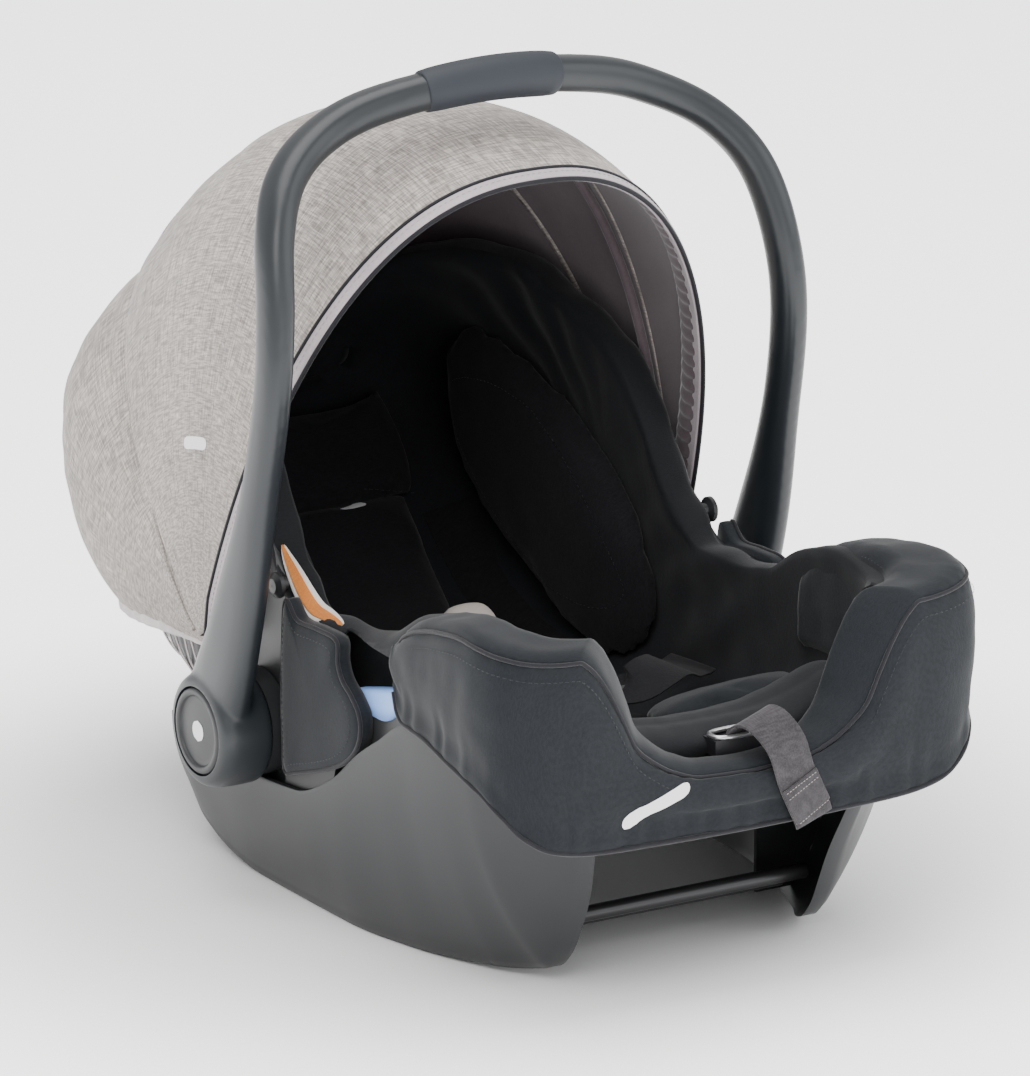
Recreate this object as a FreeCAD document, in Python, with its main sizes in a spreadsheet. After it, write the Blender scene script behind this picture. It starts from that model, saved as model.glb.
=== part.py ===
"""Infant carrier car seat with a carrying handle, a folding canopy and a soft insert.

Frame: +Z up, -Y towards the foot end, +Y towards the head end, X across.
The origin is on the floor, straight below the pivot axis of the handle.
"""
import FreeCAD, Part
import math
import os
import Sketcher
from FreeCAD import Placement, Rotation, Vector

doc = FreeCAD.newDocument("InfantCarrier")

DIMENSIONS = {
    # handle and its hubs
    "pivot_height": 120.0,
    "hub_radius": 41.0,
    "hub_outer_face": 222.0,
    "hub_inner_face": 183.0,
    "hub_cap_radius": 31.0,
    "hub_cap_depth": 12.0,
    "hub_bore_radius": 10.0,
    "pin_clearance": 0.06,
    "boss_radius": 37.0,
    "button_thickness": 7.0,
    "arm_width": 21.0,
    "arm_depth": 31.0,
    "grip_length": 108.0,
    "grip_radius": 15.6,
    "grip_height": 554.0,
    # moulded shell
    "shell_wall": 4.0,
    "liner_thickness": 13.0,
    "cover_thickness": 7.0,
    "layer_gap": 0.4,
    "foot_end": -345.0,
    "front_sill_height": 158.0,
    "window_station": -158.0,
    "window_half_length": 37.0,
    "window_bottom": 184.0,
    # rocker skirts and cross bars
    "skirt_wall": 4.0,
    "rail_width": 11.0,
    "bar_radius": 5.5,
    "bar_half_length": 103.0,
    # padded apron
    "apron_front": -354.0,
    # canopy
    "canopy_pivot_y": 43.0,
    "canopy_pivot_z": 156.0,
    "canopy_reach": 363.0,
    "canopy_half_width": 190.0,
    "canopy_power": 2.35,
    "canopy_layer": 2.0,
    "canopy_layer_gap": 1.0,
    "canopy_front_angle": 20.0,
    "canopy_segment_angle": 22.0,
    "bow_thickness": 3.0,
    # harness
    "strap_width": 38.0,
    "strap_thickness": 1.6,
    "adjuster_strap_width": 32.0,
}

sheet = doc.addObject("Spreadsheet::Sheet", "Dims")
for row, (alias, value) in enumerate(DIMENSIONS.items(), start=1):
    sheet.set("A%d" % row, alias)
    sheet.set("B%d" % row, str(value))
    sheet.setAlias("B%d" % row, alias)
doc.recompute()

PARTS = []
SIDES = (("left", -1.0), ("right", 1.0))


def dim(alias):
    """Value of one cell of the sheet of dimensions."""
    return float(sheet.get(alias))


def keep(item, label):
    """Gives a finished sub-part its label and puts it on the list of files to write."""
    item.Label = label
    PARTS.append(item)
    return item


def new_body(label, placement=Placement()):
    body = keep(doc.addObject("PartDesign::Body", label), label)
    body.Placement = placement
    return body


def new_sketch(body, role, name):
    """Sketch attached flat to one origin plane of its own body."""
    sketch = body.newObject("Sketcher::SketchObject", name)
    plane = next(item for item in body.Origin.OriginFeatures if item.Role == role)
    sketch.AttachmentSupport = (plane, [""])
    sketch.MapMode = "FlatFace"
    return sketch


def add_circle(sketch, name, expression, centre=Vector()):
    """Circle whose radius is a named constraint bound to the sheet."""
    index = sketch.addGeometry(Part.Circle(centre, Vector(0, 0, 1), 10.0))
    at = sketch.addConstraint(Sketcher.Constraint("Radius", index, 10.0))
    sketch.renameConstraint(at, name)
    sketch.setExpression("Constraints." + name, expression)
    return index


def add_rectangle(sketch, width, height, centre=(0.0, 0.0)):
    """Rectangle about a centre, with width and height as numbers or sheet expressions."""
    half_w, half_h = 5.0, 5.0
    cx, cy = centre
    corners = [
        Vector(cx - half_w, cy - half_h, 0),
        Vector(cx + half_w, cy - half_h, 0),
        Vector(cx + half_w, cy + half_h, 0),
        Vector(cx - half_w, cy + half_h, 0),
    ]
    lines = [
        sketch.addGeometry(Part.LineSegment(corners[i], corners[(i + 1) % 4])) for i in range(4)
    ]
    for i in range(4):
        sketch.addConstraint(Sketcher.Constraint("Coincident", lines[i], 2, lines[(i + 1) % 4], 1))
    for i in (0, 2):
        sketch.addConstraint(Sketcher.Constraint("Horizontal", lines[i]))
        sketch.addConstraint(Sketcher.Constraint("Vertical", lines[i + 1]))
    middle = sketch.addGeometry(Part.Point(Vector(cx, cy, 0)), True)
    sketch.addConstraint(Sketcher.Constraint("Symmetric", lines[0], 1, lines[2], 1, middle, 1))
    sketch.addConstraint(Sketcher.Constraint("DistanceX", -1, 1, middle, 1, cx))
    sketch.addConstraint(Sketcher.Constraint("DistanceY", -1, 1, middle, 1, cy))
    for name, kind, line, size in (("wide", "DistanceX", lines[0], width), ("high", "DistanceY", lines[1], height)):
        at = sketch.addConstraint(Sketcher.Constraint(kind, line, 1, line, 2, 10.0))
        sketch.renameConstraint(at, name)
        if isinstance(size, str):
            sketch.setExpression("Constraints." + name, size)
        else:
            sketch.setDatum(at, FreeCAD.Units.Quantity(size, FreeCAD.Units.Length))
    return lines


def add_polygon(sketch, points):
    """Closed outline through the given corners, each corner held by its two coordinates."""
    count = len(points)
    lines = [
        sketch.addGeometry(Part.LineSegment(Vector(*points[i], 0), Vector(*points[(i + 1) % count], 0)))
        for i in range(count)
    ]
    for i in range(count):
        sketch.addConstraint(Sketcher.Constraint("Coincident", lines[i], 2, lines[(i + 1) % count], 1))
        sketch.addConstraint(Sketcher.Constraint("DistanceX", -1, 1, lines[i], 1, points[i][0]))
        sketch.addConstraint(Sketcher.Constraint("DistanceY", -1, 1, lines[i], 1, points[i][1]))
    return lines


def add_pad(body, sketch, length, reverse=False):
    pad = body.newObject("PartDesign::Pad", body.Label + "_pad")
    pad.Profile = sketch
    pad.Reversed = reverse
    if isinstance(length, str):
        pad.setExpression("Length", length)
    else:
        pad.Length = length
    doc.recompute()
    return pad


def add_pocket(body, sketch, length, name, reverse=False):
    """Pocket that has to remove material, so the volume before and after is compared."""
    before = body.Shape.Volume
    pocket = body.newObject("PartDesign::Pocket", name)
    pocket.Profile = sketch
    pocket.Reversed = reverse
    if isinstance(length, str):
        pocket.setExpression("Length", length)
    else:
        pocket.Length = length
    doc.recompute()
    if body.Shape.Volume > before - 1.0:
        raise RuntimeError(name + " cuts nothing")
    return pocket


def round_edges(body, feature, radius, chosen=None):
    """Fillet on every edge of a feature, or on the edges that the test picks."""
    names = [
        "Edge%d" % (i + 1)
        for i, edge in enumerate(feature.Shape.Edges)
        if chosen is None or chosen(edge)
    ]
    fillet = body.newObject("PartDesign::Fillet", body.Label + "_round")
    fillet.Base = (feature, names)
    fillet.Radius = radius
    doc.recompute()
    return fillet


def add_turned(body, profile):
    """Revolved solid from (radius, height) corners, each a number or a sheet expression."""
    sketch = new_sketch(body, "XZ_Plane", body.Label + "_profile")
    corners = [(value_of(r), value_of(z)) for r, z in profile]
    count = len(corners)
    lines = [
        sketch.addGeometry(Part.LineSegment(Vector(*corners[i], 0), Vector(*corners[(i + 1) % count], 0)))
        for i in range(count)
    ]
    for i in range(count):
        sketch.addConstraint(Sketcher.Constraint("Coincident", lines[i], 2, lines[(i + 1) % count], 1))
        for kind, letter, at in (("DistanceX", "r", 0), ("DistanceY", "z", 1)):
            index = sketch.addConstraint(Sketcher.Constraint(kind, -1, 1, lines[i], 1, corners[i][at]))
            if isinstance(profile[i][at], str):
                name = "%s%d" % (letter, i)
                sketch.renameConstraint(index, name)
                sketch.setExpression("Constraints." + name, profile[i][at])
    turned = body.newObject("PartDesign::Revolution", body.Label + "_turned")
    turned.Profile = sketch
    turned.ReferenceAxis = (sketch, ["V_Axis"])
    turned.Angle = 360.0
    doc.recompute()
    return turned


def value_of(size):
    """Number behind a size that is a number or an expression on the sheet."""
    if not isinstance(size, str):
        return float(size)
    cells = {alias: dim(alias) for alias in DIMENSIONS if "Dims." + alias in size}
    text = size
    for alias in sorted(cells, key=len, reverse=True):
        text = text.replace("Dims." + alias, repr(cells[alias]))
    total = 0.0
    for term in text.replace(" - ", " + -").split(" + "):
        product = 1.0
        for factor in term.split(" * "):
            product *= float(factor.replace("--", ""))
        total += product
    return total


def facing_out(side, x, y, z):
    """Placement whose local Z points away from the middle plane on the given side."""
    return Placement(Vector(side * x, y, z), Rotation(Vector(0, 1, 0), 90.0 * side))


def shaped(label, shape, placement=Placement()):
    """Sub-part whose freeform shape comes from lofts and sweeps."""
    item = keep(doc.addObject("Part::Feature", label), label)
    item.Shape = shape
    item.Placement = placement
    return item


def curve(points):
    """Smooth edge through points."""
    spline = Part.BSplineCurve()
    spline.interpolate([Vector(*p) for p in points])
    return spline.toShape()


def straight(a, b):
    return Part.makeLine(Vector(*a), Vector(*b))


def ramp(table, y):
    """Value at station y, on a smooth curve that never overshoots the stations of a short table."""
    stations = sorted(table)
    y = min(max(y, stations[0]), stations[-1])
    steps = [b - a for a, b in zip(stations, stations[1:])]
    rises = [(table[b] - table[a]) / (b - a) for a, b in zip(stations, stations[1:])]
    slopes = [rises[0]]
    for before, after in zip(rises, rises[1:]):
        slopes.append(2 * before * after / (before + after) if before * after > 0 else 0.0)
    slopes.append(rises[-1])
    at = next(i for i in range(len(steps)) if y <= stations[i + 1])
    t = (y - stations[at]) / steps[at]
    start, end = table[stations[at]], table[stations[at + 1]]
    return (
        start * (1 + 2 * t) * (1 - t) ** 2
        + slopes[at] * steps[at] * t * (1 - t) ** 2
        + end * t * t * (3 - 2 * t)
        + slopes[at + 1] * steps[at] * t * t * (t - 1)
    )


def stations_between(first, last, count):
    return [first + (last - first) * i / (count - 1) for i in range(count)]


# ---------------------------------------------------------------------------
# The tub: stations along Y give the moulded shell, its foam liner and its cover
# ---------------------------------------------------------------------------
RIM_HEIGHT = {-345: 246, -263: 252, -200: 238, -159: 216, -104: 207, -65: 207, -23: 232,
              18: 286, 52: 324, 105: 352, 173: 372, 240: 362, 290: 338, 322: 306}
RIM_HALF = {-345: 108, -332: 140, -310: 156, -263: 164, -104: 166, 18: 165, 52: 161, 105: 150, 173: 133, 240: 112, 290: 84, 322: 40}
BELLY_HALF = {-345: 112, -332: 144, -310: 160, -263: 167, -104: 168, 105: 168, 173: 166, 240: 158, 290: 136, 322: 96}
BOTTOM_HEIGHT = {-345: 128, -263: 108, -159: 84, -65: 64, 18: 58, 105: 66, 173: 92, 240: 142, 290: 190, 322: 234}
TUB_STATIONS = stations_between(-345.0, 322.0, 25)
LEAST_HALF = 12.0


def tub_section(y, station, inset, extra_top):
    """Closed cross section of the tub at one station: flat top, bellied sides, rounded floor."""
    top = ramp(RIM_HEIGHT, station)
    rim = max(ramp(RIM_HALF, station) - inset, LEAST_HALF)
    belly = max(ramp(BELLY_HALF, station) - inset, rim + 2.0)
    low = min(ramp(BOTTOM_HEIGHT, station) + inset, top - LEAST_HALF)
    widest = low + 0.45 * (top - low)
    right = []
    for share in (1.0, 0.75, 0.5, 0.25):
        right.append((belly + (rim - belly) * share * share, widest + (top - widest) * share))
    for step in range(6):
        angle = math.radians(90.0 * step / 6.0)
        right.append((belly * math.cos(angle) ** 0.6, widest - (widest - low) * math.sin(angle) ** 0.6))
    outline = [(x, y, z) for x, z in right] + [(0.0, y, low)] + [(-x, y, z) for x, z in reversed(right)]
    first, last = outline[0], outline[-1]
    edges = [curve(outline)]
    if extra_top:
        lifted_first, lifted_last = (first[0], y, top + extra_top), (last[0], y, top + extra_top)
        edges += [straight(last, lifted_last), straight(lifted_last, lifted_first), straight(lifted_first, first)]
    else:
        edges.append(straight(last, first))
    return Part.Wire(edges)


def tub_solid(inset=0.0, extra_top=0.0, end_inset=0.0):
    """Solid of the tub; the insets draw its sides and floor, and its two ends, inwards."""
    first, last = TUB_STATIONS[0], TUB_STATIONS[-1]
    middle = 0.5 * (first + last)
    scale = (last - first - 2.0 * end_inset) / (last - first)
    wires = [
        tub_section(middle + (station - middle) * scale, station, inset, extra_top)
        for station in TUB_STATIONS
    ]
    return Part.makeLoft(wires, True, True)


def side_prism(outline, depth=400.0):
    """Prism across the whole width with a given outline in the YZ plane."""
    edges = [
        straight((-depth, *outline[i]), (-depth, *outline[(i + 1) % len(outline)]))
        for i in range(len(outline))
    ]
    return Part.Face(Part.Wire(edges)).extrude(Vector(2.0 * depth, 0, 0))


def belt_window(margin=0.0):
    """U-shaped notch across both side walls, where the vehicle belt crosses the seat."""
    half = dim("window_half_length") + margin
    bottom = dim("window_bottom") - margin
    station = dim("window_station")
    radius = half * 0.8
    flat = Part.makeBox(800, 2 * half, 200, Vector(-400, station - half, bottom))
    lower = [edge for edge in flat.Edges if abs(edge.CenterOfMass.z - bottom) < 0.1 and edge.Length > 700]
    return flat.makeFillet(radius, lower)


def front_sill_cut(height, width=262.0):
    """Valley across the foot end, between the two raised front corners."""
    y = dim("foot_end") - 40
    points = [(-width / 2, y, height + 110), (-width / 2 + 26, y, height + 42), (-62, y, height + 8),
              (0, y, height), (62, y, height + 8), (width / 2 - 26, y, height + 42), (width / 2, y, height + 110)]
    wire = Part.Wire([curve(points), straight(points[-1], points[0])])
    return Part.Face(wire).extrude(Vector(0, 78, 0))


wall = dim("shell_wall")
gap = dim("layer_gap")
liner_out = wall + gap
liner_in = liner_out + dim("liner_thickness")
cover_out = liner_in + gap
cover_in = cover_out + dim("cover_thickness")
CUT_TOP = 60.0

SCREW_RADIUS = 4.5
SCREW_LENGTH = 8.0
screws = Part.makeCompound([
    Part.makeCylinder(SCREW_RADIUS, SCREW_LENGTH, Vector(x, y, ramp(BOTTOM_HEIGHT, y) - wall))
    for x in (-70, 70) for y in (-230, -60, 90)
])
shaped("shell_screws", screws)

sill = front_sill_cut(dim("front_sill_height"))
tub = tub_solid()
shell = tub.cut(tub_solid(wall, CUT_TOP, wall)).cut(belt_window()).cut(sill)
for screw in screws.Solids:
    shell = shell.cut(screw)
shaped("seat_shell", shell)

liner = tub_solid(liner_out, 0, liner_out).cut(tub_solid(liner_in, CUT_TOP, liner_in))
liner = liner.cut(belt_window(2.0)).cut(front_sill_cut(dim("front_sill_height") - 1.0))
shaped("foam_liner", liner)

cavity = tub_solid(cover_in, CUT_TOP, cover_in)
cover = tub_solid(cover_out, 0, cover_out).cut(cavity)
cover = cover.cut(belt_window(3.0)).cut(front_sill_cut(dim("front_sill_height") - 1.5))
shaped("seat_cover", cover)


# ---------------------------------------------------------------------------
# Rocker skirts
# ---------------------------------------------------------------------------
SKIRT_TOP = {-328: 128, -300: 150, -269: 166, -207: 172, -169: 168, -110: 112, -60: 88, 0: 84, 125: 92}
SKIRT_TOP_HALF = {-328: 118, -300: 150, -269: 169, -207: 177, -110: 179, 0: 179, 125: 172}
SKIRT_LOW = {-328: 100, -300: 58, -269: 12, -235: 5, -169: 1, -120: -1, 30: -1, 60: 4, 101: 16, 125: 34}
SKIRT_LOW_HALF = {-328: 106, -300: 104, -269: 106, -235: 122, -169: 146, -100: 158, 20: 160, 101: 158, 125: 156}
SKIRT_STATIONS = stations_between(-328.0, 125.0, 19)


def skirt_section(side, y):
    """Curved strip of the skirt wall at one station, thicker along its bottom rail."""
    top, low = ramp(SKIRT_TOP, y), ramp(SKIRT_LOW, y)
    top_half, low_half = ramp(SKIRT_TOP_HALF, y), ramp(SKIRT_LOW_HALF, y)
    thin, rail = dim("skirt_wall"), dim("rail_width")
    outer, inner = [], []
    for step in range(9):
        share = step / 8.0
        x = low_half + (top_half - low_half) * math.sin(math.radians(90.0 * share)) ** 0.8
        z = low + (top - low) * share
        depth = thin + (rail - thin) * max(0.0, 1.0 - 6.0 * share)
        outer.append((side * x, y, z))
        inner.append((side * (x - depth), y, z))
    return Part.Wire([
        curve(outer), straight(outer[-1], inner[-1]), curve(list(reversed(inner))), straight(inner[0], outer[0])
    ])


SIDE_COVER_OUTLINE = [(-46, 98), (-60, 103), (-134, 130), (-152, 146), (-156, 166), (-150, 180),
                      (-128, 186), (-119, 200), (-117, 210), (-64, 210), (-48, 220), (-44, 150)]
BOSS_START = 168.8
skirts = []
for name, side in SIDES:
    skirt = Part.makeLoft([skirt_section(side, y) for y in SKIRT_STATIONS], True, True)
    below_floor = Part.makeBox(500, 800, 50, Vector(-250, -400, -50))
    boss_space = Part.makeCylinder(
        dim("boss_radius") + 0.3, 60, Vector(side * BOSS_START, 0, dim("pivot_height")), Vector(side, 0, 0))
    skirt = skirt.cut(below_floor).cut(tub).cut(side_prism(SIDE_COVER_OUTLINE)).cut(boss_space)
    skirts.append(max(skirt.Solids, key=lambda solid: solid.Volume))
    shaped("rocker_skirt_" + name, skirts[-1])

for name, y, z in (("front", -262.0, 40.0), ("rear", -232.0, 26.0)):
    body = new_body("cross_bar_" + name, Placement(Vector(0, y, z), Rotation(Vector(0, 1, 0), 90)))
    circle = new_sketch(body, "XY_Plane", "cross_bar_%s_sketch" % name)
    add_circle(circle, "bar_radius", "Dims.bar_radius")
    pad = add_pad(body, circle, "2 * Dims.bar_half_length")
    pad.Midplane = True

# ---------------------------------------------------------------------------
# Handle: bow, grip, hubs and release buttons
# ---------------------------------------------------------------------------
pivot = dim("pivot_height")
# half width, Y and Z of the bow's middle line, from the hub up to the grip
BOW_LINE = [(207, -8, 146), (209, -30, 190), (208, -57, 270), (205, -78, 365), (200, -76, 426), (190, -58, 477),
            (168, -35, 509), (132, -18, 530), (84, -14, 545), (0, -19, dim("grip_height"))]


def bow_path():
    half = BOW_LINE
    points = [(-x, y, z) for x, y, z in half] + [(x, y, z) for x, y, z in reversed(half[:-1])]
    spline = Part.BSplineCurve()
    spline.interpolate([Vector(*p) for p in points])
    return spline


def bow_section(spline, share, deep, thick):
    """Oval wire square to the bow's path: deep along the seat, thick across it."""
    first, last = spline.FirstParameter, spline.LastParameter
    at = first + (last - first) * share
    centre, along = spline.value(at), Vector(*spline.tangent(at)[0])
    deep_axis = Vector(0, 1, 0) - along * along.y
    deep_axis.normalize()
    thick_axis = along.cross(deep_axis)
    points = []
    for step in range(16):
        angle = 2 * math.pi * step / 16
        c, s = math.cos(angle), math.sin(angle)
        u = 0.5 * deep * math.copysign(abs(c) ** 0.8, c)
        v = 0.5 * thick * math.copysign(abs(s) ** 0.8, s)
        points.append(centre + deep_axis * u + thick_axis * v)
    oval = Part.BSplineCurve()
    oval.interpolate(points, PeriodicFlag=True)
    return Part.Wire([oval.toShape()])


ARM_DEPTH = {0.0: 58, 0.07: 48, 0.16: dim("arm_depth"), 0.33: 31, 0.42: 28, 0.5: 25}
ARM_WIDTH = {0.0: 24, 0.07: 22, 0.16: dim("arm_width"), 0.33: 24, 0.42: 26, 0.5: 25}
path = bow_path()
bow_wires = []
for share in stations_between(0.0, 1.0, 41):
    near = min(share, 1.0 - share)
    bow_wires.append(bow_section(path, share, ramp(ARM_DEPTH, near), ramp(ARM_WIDTH, near)))
bow = Part.makeLoft(bow_wires, True, True)
for side in (-1, 1):
    barrel = Part.makeCylinder(dim("hub_radius") + 0.05, 60, Vector(side * 175, 0, pivot), Vector(side, 0, 0))
    bow = bow.cut(barrel)
bow = max(bow.Solids, key=lambda solid: solid.Volume)
shaped("handle_bow", bow)

grip_wires = []
for share in stations_between(0.0, 1.0, 201):
    first, last = path.FirstParameter, path.LastParameter
    at = path.value(first + (last - first) * share)
    if abs(at.x) <= 0.5 * dim("grip_length"):
        thickness = 2 * dim("grip_radius")
        grip_wires.append(bow_section(path, share, thickness, thickness))
grip = Part.makeLoft(grip_wires[::3], True, True)
shaped("handle_grip", grip.cut(bow))

HUB_LENGTH = "Dims.hub_outer_face - Dims.hub_inner_face"
for name, side in SIDES:
    hub = new_body("handle_hub_" + name, facing_out(side, dim("hub_inner_face"), 0, pivot))
    turned = add_turned(hub, [
        ("Dims.hub_bore_radius", 0.0),
        ("Dims.hub_radius", 0.0),
        ("Dims.hub_radius", HUB_LENGTH + " - 6.0"),
        ("Dims.hub_radius - 5.0", HUB_LENGTH),
        ("Dims.hub_cap_radius", HUB_LENGTH),
        ("Dims.hub_cap_radius", HUB_LENGTH + " - Dims.hub_cap_depth"),
        ("Dims.hub_bore_radius", HUB_LENGTH + " - Dims.hub_cap_depth"),
    ])

    button = new_body("handle_button_" + name, facing_out(side, dim("hub_outer_face") - 7.6, 0, pivot))
    add_turned(button, [
        (0.0, 0.0),
        ("Dims.hub_cap_radius - 0.5", 0.0),
        ("Dims.hub_cap_radius - 0.5", "Dims.button_thickness - 1.2"),
        ("Dims.hub_cap_radius - 1.8", "Dims.button_thickness"),
        (0.0, "Dims.button_thickness"),
    ])

    boss = new_body("hub_boss_" + name, facing_out(side, BOSS_START, 0, pivot))
    add_turned(boss, [
        (0.0, 0.0),
        ("Dims.boss_radius", 0.0),
        ("Dims.boss_radius", 13.6),
        (0.0, 13.6),
    ])

    pin = new_body("pivot_pin_" + name, facing_out(side, 182.4, 0, pivot))
    pin_radius = "Dims.hub_bore_radius - Dims.pin_clearance"
    add_turned(pin, [(0.0, 0.0), (pin_radius, 0.0), (pin_radius, 26.0), (0.0, 26.0)])

    mount = new_body(
        "canopy_mount_" + name,
        facing_out(side, 169.0, dim("canopy_pivot_y"), dim("canopy_pivot_z")),
    )
    add_turned(mount, [(0.0, 0.0), (13.0, 0.0), (13.0, 7.0), (11.0, 9.0), (0.0, 9.0)])

    knob = new_body("rim_knob_" + name, facing_out(side, 166.6, -28.0, 224.0))
    add_turned(knob, [(0.0, 0.0), (5.0, 0.0), (5.0, 3.0), (9.0, 5.0), (9.0, 8.0), (5.0, 10.6), (0.0, 11.0)])

# ---------------------------------------------------------------------------
# Canopy: panels that turn about the canopy pivot, one outside the other, and their bows
# ---------------------------------------------------------------------------
canopy_pivot = Vector(0, dim("canopy_pivot_y"), dim("canopy_pivot_z"))
LEG_START = 17.0


def hoop_points(half_width, reach, power, count=12):
    """Points of a superelliptic hoop above the pivot axis, as (x, height), from left to right."""
    right = []
    for step in range(count + 1):
        angle = math.radians(90.0 * step / count)
        x = half_width * math.sin(angle) ** (2.0 / power)
        height = reach * math.cos(angle) ** (2.0 / power)
        right.append((x, max(height, LEG_START)))
    return [(-x, height) for x, height in reversed(right[1:])] + right


def tilted(points, angle):
    """Points of a hoop in the plane through the pivot axis that leans forward by an angle."""
    lean = math.radians(angle)
    return [
        (x, canopy_pivot.y - height * math.sin(lean), canopy_pivot.z + height * math.cos(lean))
        for x, height in points
    ]


def canopy_strip(angle, half_width, reach, power, depth):
    """Thin closed wire of a canopy panel or bow where a tilted plane cuts it."""
    outer = tilted(hoop_points(half_width, reach, power), angle)
    inner = tilted(hoop_points(half_width - depth, reach - depth, power), angle)
    inner.reverse()
    return Part.Wire([
        curve(outer), straight(outer[-1], inner[0]), curve(inner), straight(inner[-1], outer[0])
    ])


def swept_panel(half_width, reach, front, back):
    """Panel of revolution about the pivot axis between two lean angles."""
    face = Part.Face(canopy_strip(front, half_width, reach, dim("canopy_power"), dim("canopy_layer")))
    return face.revolve(canopy_pivot, Vector(1, 0, 0), back - front)


nest = dim("canopy_layer") + dim("canopy_layer_gap")
reach, half_width = dim("canopy_reach"), dim("canopy_half_width")
front_angle, segment = dim("canopy_front_angle"), dim("canopy_segment_angle")
OVERLAP = 2.0
shaped("canopy_front_panel", swept_panel(half_width, reach, front_angle, front_angle - segment - OVERLAP))
shaped("canopy_middle_panel", swept_panel(
    half_width - nest, reach - nest, front_angle - segment, front_angle - 2 * segment - OVERLAP))
rear_start = front_angle - 3 * segment - OVERLAP
shaped("canopy_rear_panel", swept_panel(
    half_width - 2 * nest, reach - 2 * nest, front_angle - 2 * segment, rear_start + 0.5))

# lean, half width, reach and squareness of the hood that closes over the head end
HOOD = [
    (rear_start, half_width - 2 * nest, reach - 2 * nest, dim("canopy_power")),
    (-58.0, 184.0, 354.0, 3.2), (-69.0, 182.0, 335.0, 4.6), (-78.0, 180.0, 312.0, 5.0),
    (-88.0, 177.0, 268.0, 5.0), (-95.0, 173.0, 225.0, 5.0),
]
hood = Part.makeLoft([canopy_strip(*station, dim("canopy_layer")) for station in HOOD], True, False)
shaped("canopy_hood", hood)

BOW_SPAN = 1.8
for name, layers, lean in (("front", 0, front_angle), ("middle", 2, front_angle - segment)):
    inset = layers * nest + dim("canopy_layer") + 0.5
    outer = canopy_strip(lean, half_width - inset, reach - inset, dim("canopy_power"), dim("bow_thickness"))
    strip = Part.Face(outer).revolve(canopy_pivot, Vector(1, 0, 0), -BOW_SPAN)
    shaped("canopy_%s_bow" % name, strip)

# ---------------------------------------------------------------------------
# Padded apron over the foot end, side covers, belt guides
# ---------------------------------------------------------------------------
APRON_HALF = {-354: 118, -350: 146, -340: 166, -322: 180, -294: 186, -240: 184, -159: 178}
APRON_TOP = {-354: 252, -340: 256, -300: 261, -263: 262, -210: 250, -159: 224}
apron_wires = []
for y in stations_between(dim("apron_front"), -162.0, 14):
    half, top = ramp(APRON_HALF, y), ramp(APRON_TOP, y)
    outline = [(half, y, 96), (half, y, top - 34), (half - 3, y, top - 18), (half - 10, y, top - 6), (half - 22, y, top)]
    mirrored = [(-x, py, z) for x, py, z in reversed(outline)]
    corners = outline + mirrored
    apron_wires.append(Part.makePolygon([Vector(*p) for p in corners + [corners[0]]]))
apron = Part.makeLoft(apron_wires, True, True)
below_hem = side_prism([(-380, 60), (-380, 112), (-352, 120), (-317, 145), (-279, 160), (-240, 170),
                        (-207, 174), (-150, 176), (-150, 60)])
behind_hem = side_prism([(-186, 60), (-207, 174), (-198, 205), (-182, 218), (-150, 222), (-150, 60)])
apron = apron.cut(tub).cut(cavity).cut(front_sill_cut(dim("front_sill_height") + 7.0))
apron = apron.cut(below_hem).cut(behind_hem)
for neighbour in [cover, liner] + skirts:
    apron = apron.cut(neighbour)
shaped("front_apron", max(apron.Solids, key=lambda solid: solid.Volume))

for name, side in SIDES:
    panel = new_body("side_cover_" + name, Placement(Vector(side * 169.2, 0, 0), Rotation()))
    sketch = new_sketch(panel, "YZ_Plane", "side_cover_outline_" + name)
    add_polygon(sketch, SIDE_COVER_OUTLINE)
    add_pad(panel, sketch, 12.0, reverse=side < 0)

    bracket = new_body("side_bracket_" + name, Placement(Vector(side * 169.2, 0, 0), Rotation()))
    sketch = new_sketch(bracket, "YZ_Plane", "side_bracket_outline_" + name)
    add_polygon(sketch, [(-38, 78), (-104, 104), (-108, 116), (-46, 94), (-40, 94)])
    add_pad(bracket, sketch, 5.0, reverse=side < 0)

    guide = belt_window(-0.3).cut(belt_window(-6.0))
    guide = guide.common(Part.makeBox(17, 120, 24, Vector(150 if side > 0 else -167, -220, 180)))
    shaped("belt_guide_" + name, guide)

back_guide = new_body("rear_belt_guide")
sketch = new_sketch(back_guide, "YZ_Plane", "rear_belt_guide_outline")
add_polygon(sketch, [(232, 128), (250, 118), (272, 120), (272, 128), (252, 127), (240, 134)])
pad = add_pad(back_guide, sketch, 120.0)
pad.Midplane = True

# ---------------------------------------------------------------------------
# Insert, harness and adjuster, each lying on the layer below it
# ---------------------------------------------------------------------------
def lining(depth_out, depth_in, low, high):
    """Piece of a layer on the cover, between two depths, inside a box."""
    layer = tub_solid(cover_in + depth_out, CUT_TOP, cover_in).cut(tub_solid(cover_in + depth_in, CUT_TOP, cover_in))
    size = [b - a for a, b in zip(low, high)]
    piece = layer.common(Part.makeBox(*size, Vector(*low)))
    return max(piece.Solids, key=lambda solid: solid.Volume)


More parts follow.
